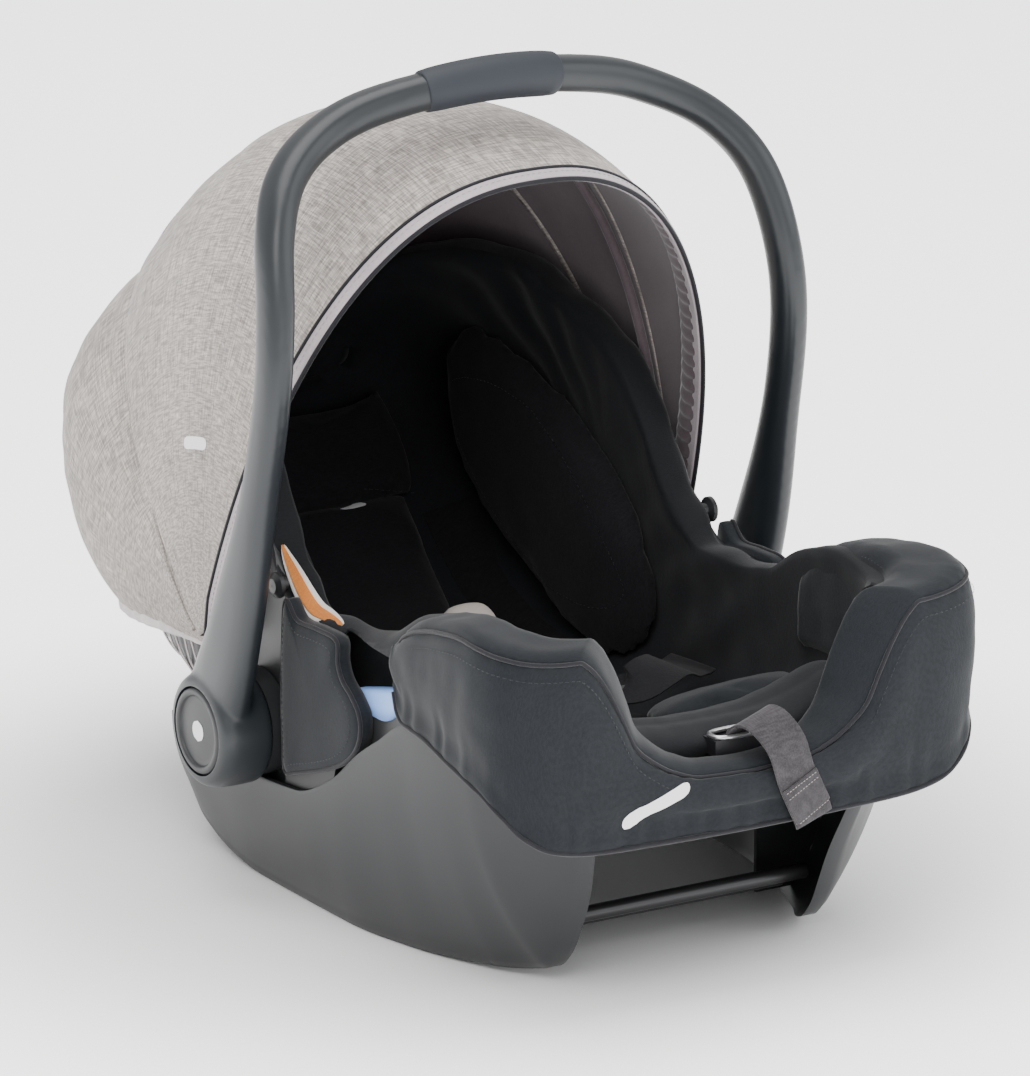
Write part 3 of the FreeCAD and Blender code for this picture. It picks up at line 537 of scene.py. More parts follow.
def build_cover():
    """Seat cover: one cloth that lines the cavity and rolls over the rim."""
    rows = []
    for station in spread(FIRST, LAST, 110):
        top = ramp(RIM_HEIGHT, station)
        rim = ramp(RIM_HALF, station)
        y_in = MIDDLE + (station - MIDDLE) * (LAST - FIRST - 2 * CAVITY) / (LAST - FIRST)
        inner = tub_half(station, CAVITY)
        x_in = inner[0][0]
        roll = [(rim + 1.6, station, top - 17.0), (rim + 2.2, station, top - 9.0), (rim + 1.4, station, top - 2.0)]
        for angle in spread(20.0, 160.0, 7):
            c, s = math.cos(math.radians(angle)), math.sin(math.radians(angle))
            share = 0.5 - 0.5 * c
            roll.append((0.5 * (rim + x_in) + 0.5 * (rim - x_in) * c,
                         station + (y_in - station) * share, top + 5.0 * s))
        wall = [(x, y_in, z) for x, z in resampled([p for p in inner if p[1] < top - 4.0] or inner, 40)]
        half = roll + wall
        rows.append(half + [(-x, y, z) for x, y, z in half[-2::-1]])
    cover = grid_piece("seat_cover_cloth", rows, flip=True)

    def creased(p, n):
        fold = 1.6 * ripple((p[0], p[1], p[2] * 0.5), 60.0, 3.1) + 0.7 * ripple(p, 22.0, 7.7)
        # gathers round the head end
        near = math.exp(-((p[1] - 150.0) / 70.0) ** 2) * min(1.0, max(0.0, (p[2] - 230.0) / 60.0))
        angle = math.degrees(math.atan2(p[2] - 215.0, p[1] - 60.0))
        fold += 2.2 * near * math.sin(angle * 0.42 + 2.0 * ripple(p, 40.0, 1.0))
        # slanting slack folds on the side walls at the legs
        legs = math.exp(-((p[1] + 60.0) / 60.0) ** 2) * min(1.0, max(0.0, (abs(p[0]) - 90.0) / 30.0))
        fold += 2.0 * legs * math.sin((p[2] + 0.6 * p[1]) * 0.13 + 1.5 * ripple(p, 50.0, 6.0))
        return n * fold

    nudge(cover, creased)
    for index in (0, -1):
        ring = rows[index][10:-10]
        centre = Vector((0, ring[0][1], sum(p[2] for p in ring) / len(ring)))
        levels = [[tuple(centre + (Vector(p) - centre) * share) for p in ring] for share in (1.0, 0.9, 0.6, 0.3, 0.02)]
        join(cover, grid_piece("end", levels, flip=index == 0))
    weld(cover, 0.3)
    thicken(cover, 2.0, -1.0)
    # below the rolled rim only the outer side is open; the cloth inside runs on
    cut(cover, window_block(2.0, -400.0, -149.0, 211.0), window_block(2.0, 149.0, 400.0, 211.0), sill_block(157.0))
    finish_piece(cover, COVER, "carrier", "cover_fabric", "seat_cover")
    return cover


# ---------------------------------------------------------------------------
# Rocker skirts
# ---------------------------------------------------------------------------
SKIRT_TOP = {-328: 146, -300: 164, -269: 170, -207: 174, -169: 153, -143: 136, -110: 110, -60: 88, 0: 84, 125: 92}
SKIRT_TOP_HALF = {-328: 118, -300: 150, -269: 169, -207: 177, -110: 179, 0: 179, 125: 172}
SKIRT_LOW = {-328: 124, -324: 112, -318: 97, -308: 74, -296: 47, -284: 24, -269: 10, -235: 4, -169: 1, -100: 0,
             20: 0, 60: 4, 101: 16, 125: 34}
SKIRT_LOW_HALF = {-328: 113, -300: 104, -269: 106, -235: 122, -169: 146, -100: 158, 20: 160, 101: 158, 125: 156}


def build_skirts():
    for name, side in SIDES:
        rows = []
        for share_y in spread(0.0, 1.0, 130):
            y = -328.0 + 453.0 * share_y ** 1.35
            top, low = ramp(SKIRT_TOP, y), max(ramp(SKIRT_LOW, y), 0.0)
            top_half, low_half = ramp(SKIRT_TOP_HALF, y), ramp(SKIRT_LOW_HALF, y)
            outer, inner = [], []
            for share in spread(0.0, 1.0, 30):
                x = low_half + (top_half - low_half) * math.sin(math.radians(90.0 * share)) ** 0.8
                z = low + (top - low) * share
                flange = 2.2 * max(0.0, 1.0 - abs(share - 0.02) * 22.0)
                depth = 4.0 + 7.0 * max(0.0, 1.0 - 6.0 * share)
                outer.append((side * (x + flange * 0.4), y, z))
                inner.append((side * (x - depth), y, z))
            rows.append(outer + inner[::-1])
        skirt = grid_piece("skirt_%s" % name, rows, wrap=True, caps=True, flip=side < 0)
        weld(skirt, 0.005)
        bevelled(skirt, 0.9, 50.0)
        finish_piece(skirt, SHELL, "carrier", "shell_plastic", "rocker_skirt_" + name)
        # rib that closes the gap between the skirt and the tub beside the hub
        rows = [[(side * (166.5 + 1.2 * math.cos(0.05 * y)), y, z) for z in spread(58.0, 128.0, 12)]
                for y in spread(-128.0, 34.0, 40)]
        rib = grid_piece("skirt_rib_%s" % name, rows)
        thicken(rib, 2.0, 0.0)
        finish_piece(bevelled(rib, 0.5), SHELL, "carrier", "shell_plastic")


# ---------------------------------------------------------------------------
# Handle
# ---------------------------------------------------------------------------
BOW_LINE = [(207, -8, 146), (209, -30, 190), (208, -57, 270), (205, -78, 365), (200, -76, 426), (190, -58, 477),
            (168, -35, 509), (132, -18, 530), (84, -14, 545), (0, -19, 554)]
ARM_DEPTH = {0.0: 62, 0.07: 50, 0.16: 31, 0.33: 31, 0.42: 28, 0.5: 25}
ARM_WIDTH = {0.0: 25, 0.07: 23, 0.16: 21, 0.33: 24, 0.42: 26, 0.5: 25}
PIVOT = Vector((0, 0, 120))


def oval_row(centre, along, deep, thick, sides=28, square=0.8):
    deep_axis = Vector((0, 1, 0)) - along * along.y
    deep_axis.normalize()
    thick_axis = along.cross(deep_axis)
    return [centre + deep_axis * (0.5 * deep * squared(c, square)) + thick_axis * (0.5 * thick * squared(s, square))
            for c, s in circle(sides)]


def lathe(name, profile, side, sides=96):
    """Turned piece about the handle's pivot axis; profile is (radius, distance out along X)."""
    rows = [[(side * out, PIVOT.y + radius * c, PIVOT.z + radius * s) for c, s in circle(sides)]
            for radius, out in profile]
    return grid_piece(name, rows, wrap=True, caps=True, flip=side < 0)


def bow_points():
    right = [Vector(p) for p in BOW_LINE]
    line = [Vector((-p.x, p.y, p.z)) for p in right] + right[-2::-1]
    return smooth_line(line, 161)


def build_handle():
    line = bow_points()
    count = len(line)
    rows = []
    for i, centre in enumerate(line):
        along = (line[min(i + 1, count - 1)] - line[max(i - 1, 0)]).normalized()
        near = min(i, count - 1 - i) / (count - 1)
        rows.append(oval_row(centre, along, ramp(ARM_DEPTH, near), ramp(ARM_WIDTH, near)))
    for end, first in ((0, True), (-1, False)):
        start = rows[end]
        middle = line[end]
        target = Vector((middle.x * 0.985, 0, 112))
        extra = [[target + (p - middle) * s + (middle - target) * k for p in start]
                 for s, k in ((0.9, 0.0), (0.97, 0.5))]
        rows = extra + rows if first else rows + extra[::-1]
    bow = grid_piece("handle_body", rows, wrap=True, caps=True)
    weld(bow, 0.001)
    profile = [(9.5, 183.3), (40.0, 183.3), (41.0, 184.5), (41.2, 200.0), (40.6, 211.0), (39.6, 216.5),
               (37.6, 219.6), (35.0, 221.2), (32.0, 221.8), (9.5, 221.8)]
    for side in (-1.0, 1.0):
        join(bow, lathe("drum", profile, side))
    weld(bow, 0.001)
    modified(bow, "REMESH", mode="VOXEL", voxel_size=2.0 * MM, adaptivity=0.0)
    modified(bow, "SMOOTH", factor=0.6, iterations=14)
    for side in (-1.0, 1.0):
        cut(bow, lathe("recess", [(31.2, 209.6), (31.2, 230.0)], side))
        cut(bow, lathe("bore", [(10.2, 170.0), (10.2, 230.0)], side))
    bevelled(bow, 0.7, 50.0)
    finish_piece(bow, HANDLE, "handle", "handle_plastic", "handle_bow", "handle_hub_left", "handle_hub_right")

    # grip sleeve with crowned ends
    rows = []
    for i, centre in enumerate(line):
        if abs(centre.x) > 56.0:
            continue
        along = (line[i + 1] - line[i - 1]).normalized()
        radius = 15.6 - 2.0 * (abs(centre.x) / 56.0) ** 8 + 0.25 * math.sin(centre.x * 0.9)
        rows.append(oval_row(centre, along, 2 * radius, 2 * radius, 48, 1.0))
    for end in (0, -1):
        centre = sum(rows[end], Vector()) / len(rows[end])
        outward = Vector((-1 if end == 0 else 1, 0, 0)) * (-1 if rows[0][0].x > rows[-1][0].x else 1)
        extra = [[centre + (p - centre) * s + outward * d for p in rows[end]] for s, d in ((0.965, 0.9), (0.9, 1.3))]
        rows = (extra[::-1] + rows) if end == 0 else (rows + extra)
    grip = grid_piece("grip_sleeve", rows, wrap=True, caps=True)
    weld(grip, 0.001)
    finish_piece(grip, GRIP, "handle", "grip_rubber", "handle_grip")

    for name, side in SIDES:
        cap = lathe("hub_cap_%s" % name, [
            (30.3, 214.4), (30.4, 219.0), (30.0, 220.6), (29.0, 221.6), (27.4, 221.9), (25.2, 221.6), (24.6, 220.9),
            (24.3, 219.9), (23.4, 219.5), (20.0, 219.6), (12.0, 220.1), (5.0, 220.3), (0.4, 220.35)],
            side)
        weld(cap, 0.001)
        finish_piece(cap, CAP, "release_button_" + name, "button_plastic", "handle_button_" + name)


# ---------------------------------------------------------------------------
# Canopy
# ---------------------------------------------------------------------------
CANOPY_PIVOT = Vector((0, 43, 156))
LEG = 17.0
CANOPY_FRONT, CANOPY_HALF, CANOPY_REACH = 20.0, 190.0, 363.0
HOOD_HALF = {-95: 173, -88: 177, -78: 180, -69: 182, -58: 184, -48: 184, 20: 190}
HOOD_REACH = {-95: 225, -88: 268, -78: 312, -69: 335, -58: 354, -48: 357, 20: 363}
HOOD_POWER = {-95: 5.0, -88: 5.0, -78: 5.0, -69: 4.6, -58: 3.2, -48: 2.35, 20: 2.35}


def hoop(lean, inset, count):
    """Evenly spaced points of the canopy's cross section at one lean angle, left to right, as (x, height)."""
    if lean >= -48:
        half, reach, power = CANOPY_HALF - inset, CANOPY_REACH - inset, 2.35
    else:
        half = ramp(HOOD_HALF, lean) - inset
        reach = ramp(HOOD_REACH, lean) - inset
        power = ramp(HOOD_POWER, lean)
    right = []
    for angle in spread(0.0, 90.0, 120):
        a = math.radians(angle)
        height = reach * max(math.cos(a), 0.0) ** (2.0 / power)
        if height < LEG:
            break
        right.append((half * math.sin(a) ** (2.0 / power), height))
    right.append((half, LEG))
    return resampled([(-x, h) for x, h in right[::-1]] + right[1:], count)


def leaned(x, height, lean):
    a = math.radians(lean)
    return Vector((x, CANOPY_PIVOT.y - height * math.sin(a), CANOPY_PIVOT.z + height * math.cos(a)))


def canopy_rows(first, last, inset, rows, count=121):
    """Rows of the canopy surface between two lean angles, that much inside its outer face."""
    return [[leaned(x, h, lean) for x, h in hoop(lean, inset, count)] for lean in spread(first, last, rows)]


def lean_and_reach(p):
    """Lean angle of a point about the canopy's pivot axis, and its distance from that axis."""
    back, up = CANOPY_PIVOT.y - p[1], p[2] - CANOPY_PIVOT.z
    return math.degrees(math.atan2(back, up)), math.hypot(back, up)


def sag(depth, front, back):
    """Slight slack of the cloth between its two bows, with slow waves in it."""
    def move(p, n):
        lean, reach = lean_and_reach(p)
        inside = back <= lean <= front
        slack = math.sin(math.pi * (lean - back) / (front - back)) ** 1.2 if inside else 0.0
        fade = min(1.0, max(0.0, (reach - 20.0) / 120.0))
        wave = 0.5 * ripple(p, 70.0, 1.3) + 0.25 * ripple(p, 26.0, 5.0)
        return -n * (depth * slack * fade) + n * wave * min(depth, 1.2) * slack * fade
    return move


def strip_rows(inset, start, stop, steps, count=161):
    """Band of even width behind the canopy's front edge, legs included, from start to stop millimetres."""
    return [[leaned(x, h, CANOPY_FRONT - math.degrees(d / max(h, 45.0))) for x, h in hoop(CANOPY_FRONT, inset, count)]
            for d in spread(start, stop, steps)]


def edge_line(inset, behind, count=161):
    return strip_rows(inset, behind, behind, 2, count)[0]


def build_canopy():
    # outer cloth: front and middle panels, then the rear and hood as one curved sheet
    front = grid_piece("canopy_cloth_front", canopy_rows(20.0, -4.0, 0.3, 26), flip=True)
    nudge(front, sag(1.6, 20.0, -4.0))
    middle = grid_piece("canopy_cloth_middle", canopy_rows(-2.0, -26.0, 1.9, 26), flip=True)
    nudge(middle, sag(1.0, -2.0, -26.0))
    rear = grid_piece("canopy_cloth_hood", canopy_rows(-24.0, -95.0, 3.5, 80), flip=True)

    def hood_slack(p, n):
        lean = lean_and_reach(p)[0]
        share = min(1.0, max(0.0, (-28.0 - lean) / 22.0)) * min(1.0, max(0.0, (lean + 95.0) / 8.0))
        wave = 2.2 * ripple(p, 95.0, 2.0) + 1.2 * ripple((p[0], p[1], p[2] * 2), 38.0, 8.0)
        return n * (wave - 1.0) * share

    nudge(rear, hood_slack)
    arch = hoop(-10, 0, 60)
    long_side = sum((Vector(a) - Vector(b)).length for a, b in zip(arch, arch[1:])) * MM
    for piece, body, degrees, nodes in (
            (front, "canopy_front", 24, ["canopy_front_panel"]), (middle, "canopy_middle", 24, ["canopy_middle_panel"]),
            (rear, "carrier", 71, ["canopy_rear_panel", "canopy_hood"])):
        finish_piece(thicken(piece, 0.6), CANOPY, body, "canopy_fabric", *nodes)

    # lining
    for name, body, first, last, inset in (
            ("front", "canopy_front", 19.6, -3.6, 1.3), ("middle", "canopy_middle", -2.2, -25.6, 2.9),
            ("hood", "carrier", -24.2, -94.6, 5.6)):
        lining = grid_piece("canopy_lining_" + name, canopy_rows(first, last, inset, 60 if name == "hood" else 20))
        nudge(lining, lambda p, n: n * (0.9 * ripple(p, 60.0, 4.0) if name == "hood" else 0.0))
        finish_piece(lining, LINING, body, "canopy_fabric")

    # binding on the front edge, its piping and stitching, and the gathered casing inside
    binding = (strip_rows(-0.9, 9.0, 0.5, 7) + [edge_line(0.6, -1.2)] + strip_rows(3.4, -0.4, 8.0, 5))
    band = thicken(grid_piece("canopy_binding", binding, flip=True), 0.8, 0.0)
    finish_piece(band, BINDING, "canopy_front", "canopy_fabric", "canopy_front_bow")
    for name, line, radius in (("canopy_piping", edge_line(-1.2, 9.8), 1.5),
                               ("canopy_edge_cord", edge_line(1.2, -1.6), 1.7)):
        finish_piece(tube(name, line, radius), PIPING, "canopy_front", "canopy_fabric")
    stitch_row("canopy_binding_stitch", edge_line(-1.45, 4.5, 400), BINDING_THREAD, "canopy_front", 4.5)

    rows = []
    for k, d in enumerate(spread(5.0, 25.0, 9)):
        puff, depth = 3.6 + 2.4 * math.sin(math.pi * k / 8), 0.9 if 0 < k < 8 else 0.3
        row = []
        for j, (x, h) in enumerate(hoop(CANOPY_FRONT, 0.0, 420)):
            pucker = math.sin(j * 1.15 + 2.0 * ripple((j, 0, 0), 9.0, 1.0)) * depth
            scale = 1.0 - (puff + pucker) / math.hypot(x, h)
            row.append(leaned(x * scale, h * scale, CANOPY_FRONT - math.degrees(d / max(h, 60.0))))
        rows.append(row)
    finish_piece(thicken(grid_piece("canopy_casing", rows), 0.7, 0.0), LINING, "canopy_front", "canopy_fabric")

    # the middle bow in its sleeve
    sleeve = tube("canopy_bow_sleeve", [leaned(x, h, -3.2) for x, h in hoop(-2.0, 7.5, 140)], 3.4, sides=12)
    finish_piece(sleeve, LINING, "canopy_middle", "canopy_fabric", "canopy_middle_bow")

    # seam between the panels and the hood; low down it runs on towards the rear
    seam, ridge = [], []
    for x, h in hoop(-40.0, 3.5, 400):
        lean = -43.5 - 20.0 * max(0.0, 1.0 - h / 190.0) ** 1.5
        if h > 24.0:
            seam.append(leaned(x * 1.0035, h * 1.0035, lean + 1.0))
            ridge.append(leaned(x * 1.001, h * 1.001, lean))
    stitch_row("canopy_seam_stitch", seam, CANOPY_THREAD, "carrier", 4.0)
    finish_piece(tube("canopy_seam_fold", ridge, 1.3, sides=10), CANOPY, "carrier", "canopy_fabric")

    # hem of the hood with its puckers
    rows = []
    for k, (lean, out) in enumerate(((-90.5, 0.8), (-91.5, 1.7), (-93.0, 2.4), (-94.5, 2.6), (-95.6, 2.0),
                                     (-96.2, 0.4), (-96.0, -2.0), (-94.0, -3.0))):
        row = []
        for j, (x, h) in enumerate(hoop(-94.5, 3.5, 400)):
            pucker = 0.7 * math.sin(j * 0.55 + 3 * ripple((j, 0, 0), 14.0)) * math.sin(math.pi * k / 7)
            grow = 1.0 + (out + pucker) / math.hypot(x, h)
            row.append(leaned(x * grow, h * grow, lean if h > 60 else -94.5 + (lean + 94.5) * 60.0 / max(h, 25.0)))
        rows.append(row)
    hem = thicken(grid_piece("canopy_hem", rows, flip=True), 0.8, 0.0)
    finish_piece(hem, HEM, "carrier", "canopy_fabric")


def stitch_row(name, line, material, body, pitch=4.0, length=2.6, radius=0.28, slot="canopy_fabric"):
    """Row of short sewn stitches lying along a line, as one piece."""
    run = sum((Vector(b) - Vector(a)).length for a, b in zip(line, line[1:]))
    points = [Vector(p) for p in resampled(line, max(3, int(run / pitch)))]
    verts, faces = [], []
    for a, b in zip(points, points[1:]):
        along = (b - a).normalized()
        side = along.cross(Vector((0.2, 0.3, 1.0))).normalized()
        up = side.cross(along)
        base = len(verts)
        for t, r in ((-0.5, 0.25), (-0.3, 1.0), (0.3, 1.0), (0.5, 0.25)):
            centre = (a + b) / 2 + along * (length * t)
            verts += [tuple(centre + (side * c + up * d) * radius * r) for c, d in circle(6)]
        faces += [[base + i * 6 + k, base + i * 6 + (k + 1) % 6, base + (i + 1) * 6 + (k + 1) % 6,
                   base + (i + 1) * 6 + k] for i in range(3) for k in range(6)]
        faces += [[base + k for k in range(6)][::-1], [base + 18 + k for k in range(6)]]
    return finish_piece(mesh_piece(name, verts, faces), material, body, slot)


# ---------------------------------------------------------------------------
# Padded apron over the foot end
# ---------------------------------------------------------------------------
APRON_PLAN = [(-181.5, -198), (-183.5, -214), (-186, -240), (-190, -294), (-190, -320), (-183, -341), (-165, -352),
              (-132, -357.5), (-70, -359), (0, -359.5)]
APRON_TOP = {-357: 258, -340: 264, -300: 267, -263: 262, -235: 255, -210: 244, -198: 235, -150: 224}
APRON_INNER = [(-139, -198), (-140, -214), (-140, -240), (-139, -284), (-135, -304), (-122, -316), (-104, -320),
               (-80, -321.5), (-45, -322), (0, -322.5)]
APRON_HEM = {-360: 116, -357: 121, -354: 126, -350: 134, -341: 149, -320: 163, -279: 171, -240: 177, -212: 178,
             -203: 184, -198: 196}
APRON_REAR = -196
VALLEY = {0: 162, 40: 164, 62: 171, 80: 182, 92: 193, 102: 213, 114: 236, 126: 252, 140: 262, 160: 269, 200: 400}


def apron_frame(count):
    """Columns round the foot end: place, inward direction, hem height, top height and roll width."""
    line, inside = [
        smooth_line([(x, y, 0) for x, y in plan] + [(-x, y, 0) for x, y in plan[-2::-1]], count)
        for plan in (APRON_PLAN, APRON_INNER)]
    columns = []
    for i, p in enumerate(line):
        wide = (inside[i] - p).length
        inward = (inside[i] - p) / wide
        top = ramp(APRON_TOP, p.y)
        if p.y < -322:
            # the wings round down into the valley across the foot end
            top = min(top, ramp(VALLEY, abs(p.x)))
        columns.append((p, inward, ramp(APRON_HEM, p.y), top, wide))
    return columns


def build_apron():
    columns, up, rows = apron_frame(300), Vector((0, 0, 1)), []
    for i, (p, inward, hem, top, wide) in enumerate(columns):
        height = top - hem
        deep = max(42.0, top - 172.0)
        pucker = math.sin(i * 0.62 + 3.0 * ripple((i, 0, 0), 11.0, 2.0)) * 0.5
        slow = ripple((i, 0, 0), 16.0, 5.0)
        profile = [
            (7.0, 1.5), (3.0, -1.5), (0.3 + 0.6 * pucker, 0.5), (-0.6 + pucker, 5.0), (0.4 + 1.1 * pucker, 10.0),
            (0.6 + 0.9 * pucker, 17.0), (-0.6 + 0.5 * pucker, 26.0)]
        body = [(-2.2 + 0.8 * slow, 0.42), (-3.0 + 1.0 * slow, 0.55), (-2.6 + slow, 0.68), (-1.2, 0.8), (0.6, 0.87)]
        points = [p + inward * a + up * (hem + b) for a, b in profile if b < 0.4 * height]
        points += [p + inward * a + up * (hem + height * b) for a, b in body]
        roll = [(2.4, -9.0), (4.2, -7.6), (4.0, -5.0), (6.5, -1.8), (11.0, 0.2), (17.0, 0.8), (wide - 14.0, 0.4),
                (wide - 8.0, -2.2), (wide - 3.0, -7.5), (wide - 0.5, -15.0), (wide + 0.5, -26.0),
                (wide + 1.5, -0.55 * deep), (wide + 1.2, -0.85 * deep), (wide - 6.0, -deep)]
        points += [p + inward * a + up * (top + b) for a, b in roll]
        rows.append(resampled(points, 58))
    # both rear ends close in a rounded edge
    for end, back in ((0, 1), (-1, -1)):
        row = [Vector(q) for q in rows[end]]
        middle = [row[k].lerp(row[-1 - k], 0.5) for k in range(len(row))]
        extra = [[tuple(q.lerp(m, share) + Vector((0, out, 0))) for q, m in zip(row, middle)]
                 for share, out in ((0.06, 2.5), (0.22, 4.6), (0.5, 6.0), (0.96, 6.6))]
        rows = extra[::-1] + rows if back == 1 else rows + extra
    apron = grid_piece("front_apron_pad", rows, flip=True)

    def quilt(p, n):
        return n * (1.5 * ripple(p, 48.0, 9.0) + 0.6 * ripple(p, 18.0, 2.5))

    nudge(apron, quilt)
    thicken(apron, 2.2, -1.0, even=False)
    finish_piece(apron, OUTER, "carrier", "cover_fabric", "front_apron")

    # sewn lines along the top edge, outside and inside, then piping on the roll and on the hem
    for name, aside, drop in (("outside", lambda wide: -1.6, 17.0), ("inside", lambda wide: wide - 4.0, 9.0)):
        line = [p + inward * aside(wide) + Vector((0, 0, top - drop)) for p, inward, hem, top, wide in columns]
        stitch_row("apron_stitch_" + name, [q for q in line if q.y < APRON_REAR], DARK_THREAD, "carrier", 4.2,
                   slot="cover_fabric")
    piping = [p + inward * 3.4 + Vector((0, 0, top - 6.4)) for p, inward, hem, top, wide in columns if p.y < APRON_REAR]
    finish_piece(tube("apron_piping", piping, 1.5), PIPING, "carrier", "cover_fabric")
    hem_line = [p + inward * 0.4 + Vector((0, 0, hem + 0.8)) for p, inward, hem, top, wide in columns]
    finish_piece(tube("apron_hem_piping", hem_line, 1.7), PIPING, "carrier", "cover_fabric")


# ---------------------------------------------------------------------------
# Pads on a base surface
# ---------------------------------------------------------------------------
def pillow(name, at, half, base, thick, shape, corner=0.16, crown=4.0, edge=0.45, seed=0.0, wrinkle=0.6):
    """Closed padded shape over a base surface; base gives the point and the normal at two coordinates."""
    def spaced(i, n):
        """Steps from -1 to 1 that crowd together towards both ends."""
        u = -1 + 2 * i / n
        return math.copysign(1 - (1 - abs(u)) ** 1.25, u)

    nu, nv = shape
    top, low = [], []
    for u in (spaced(i, nu) for i in range(nu + 1)):
        row_top, row_low = [], []
        for v in (spaced(j, nv) for j in range(nv + 1)):
            a = at[0] + half[0] * u * math.sqrt(max(0.0, 1 - corner * v * v))
            b = at[1] + half[1] * v * math.sqrt(max(0.0, 1 - corner * u * u))
            point, normal = base(a, b)
            swell = max(0.0, (1 - abs(u) ** crown) * (1 - abs(v) ** crown)) ** edge
            row_top.append(point + normal * ((thick + wrinkle * ripple(point, 30.0, seed)) * swell))
            row_low.append(point)
        top.append(row_top)
        low.append(row_low)
    piece = grid_piece(name, top)
    join(piece, grid_piece(name + "_under", low, flip=True))
    return weld(piece, 0.05)


def floor_base(depth):
    """Base on the cavity's floor by x and y, with its normal."""
    def base(a, b):
        inset = CAVITY + depth
        z = floor_z(a, b, inset)
        dx = floor_z(a + 2.0, b, inset) - floor_z(a - 2.0, b, inset)
        dy = floor_z(a, b + 2.0, inset) - floor_z(a, b - 2.0, inset)
        normal = Vector((-dx / 4.0, -dy / 4.0, 1.0)).normalized()
        return Vector((a, b, z)), normal
    return base


def wall_base(side, depth):
    """Base on the cavity's side wall by y and z, with its normal pointing inside."""
    def base(a, b):
        inset = CAVITY + depth
        x = wall_x(a, b, inset)
        dy = wall_x(a + 2.0, b, inset) - wall_x(a - 2.0, b, inset)
        dz = wall_x(a, b + 2.0, inset) - wall_x(a, b - 2.0, inset)
        normal = Vector((-1.0, dy / 4.0, dz / 4.0)).normalized()
        return Vector((side * x, a, b)), Vector((side * normal.x, normal.y, normal.z))
    return base


SIM_FRAMES = 20


def plump(piece, voxel, pressure, cap):
    """Swells a closed pad with a short cloth simulation, applied to its mesh."""
    modified(piece, "REMESH", mode="VOXEL", voxel_size=voxel * MM)
    before = np.array([v.co[:] for v in piece.data.vertices])
    cloth = piece.modifiers.new("swell", "CLOTH")
    for key, value in (("use_pressure", True), ("uniform_pressure_force", pressure), ("quality", 4),
                       ("tension_stiffness", 20.0), ("compression_stiffness", 12.0), ("bending_stiffness", 0.4)):
        setattr(cloth.settings, key, value)
    cloth.settings.effector_weights.gravity = 0.0
    cloth.point_cache.frame_start, cloth.point_cache.frame_end = 1, SIM_FRAMES
    for step in range(1, SIM_FRAMES + 1):
        bpy.context.scene.frame_set(step)
    graph = bpy.context.evaluated_depsgraph_get()
    swollen = piece.evaluated_get(graph).to_mesh()
    after = np.array([v.co[:] for v in swollen.vertices])
    piece.modifiers.clear()
    move = after - before
    length = np.linalg.norm(move, axis=1, keepdims=True)
    move *= np.minimum(1.0, cap * MM / np.maximum(length, 1e-9))
    piece.data.vertices.foreach_set("co", (before + move).ravel())
    bpy.context.scene.frame_set(1)
    return modified(piece, "SUBSURF", levels=1, render_levels=1)


def build_insert():
    """Head and body insert: seat pad, back pad, side bolsters, head pad and leg flaps."""
    def pad(name, settings, sim, material, fill, node, **shape):
        piece = plump(pillow(name, *settings, **shape), *sim)
        finish_piece(piece, material, "carrier", "insert_fabric", node)
        return piece

    pad("insert_seat_cushion", ((0, -121), (88, 136), floor_base(0.6), 14.0, (40, 60)), (5.0, 3.0, 3.0), INSERT, 0.6,
        "insert_seat_pad", wrinkle=1.4, seed=3.0)

    def tapered(depth, low, high, least):
        """Base on the floor that narrows from the head end towards the hips."""
        flat = floor_base(depth)

        def base(a, b):
            share = min(1.0, max(0.0, (b - low) / (high - low)))
            return flat(a * (least + (1.0 - least) * share), b)
        return base

    pad("insert_back_cushion", ((0, 134), (84, 104), tapered(3.0, 30, 238, 0.62), 20.0, (60, 90)), (5.0, 3.0, 3.0),
        INSERT, 0.6, "insert_back_pad", wrinkle=1.0, seed=5.0, corner=0.10, crown=5.0)
    pad("head_pad", ((0, 251), (88, 27), floor_base(5.0), 21.0, (70, 30)), (5.0, 3.0, 3.0), INSERT, 0.7,
        "head_support", wrinkle=1.0, seed=8.0, corner=0.08, crown=5.0)
    seam = [point + normal * 19.5 for point, normal in (
        floor_base(4.0)(a, 234.0 - 16.0 * (a / 80.0) ** 2) for a in spread(-76.0, 76.0, 60))]
    stitch_row("insert_seam", seam, DARK_THREAD, "carrier", 4.2, slot="insert_fabric")

    for name, side in SIDES:
        upright = wall_base(side, 3.0)

        def leaning(a, b, upright=upright):
            return upright(a, b + 0.40 * (a - 105.0))

        bolster = pad("side_bolster_" + name, ((112, 208), (132, 80), leaning, 30.0, (60, 46)), (5.0, 3.5, 5.0), INSERT,
                      0.7, "insert_bolster_" + name, corner=0.40, wrinkle=1.8, seed=11.0 + side, crown=3.0, edge=0.6)
        loop = []
        for c, s in circle(140):
            trim = 1 - 0.10 * abs(2 * s * c)
            point, normal = leaning(112 + 117 * c * trim, 208 + 67 * s * trim)
            loop.append(point + normal * 30.0)
        lay_on(stitch_row("bolster_stitch_" + name, loop, DARK_THREAD, "carrier", 4.2, slot="insert_fabric"),
               bolster, 0.2)
        pad("leg_flap_pad_" + name,
            ((side * 62, -226), (53, 27), slewed(floor_base(18.8), side * 66, -226, side * -16), 13.0, (40, 26)),
            (4.0, 3.0, 4.0), OUTER, 0.6, "leg_flap_" + name, corner=0.12, wrinkle=0.8, seed=15.0 + side)


def slewed(base, x, y, degrees):
    """The same base with its two coordinates turned about a point."""
    c, s = math.cos(math.radians(degrees)), math.sin(math.radians(degrees))
    return lambda a, b: base(x + (a - x) * c - (b - y) * s, y + (a - x) * s + (b - y) * c)


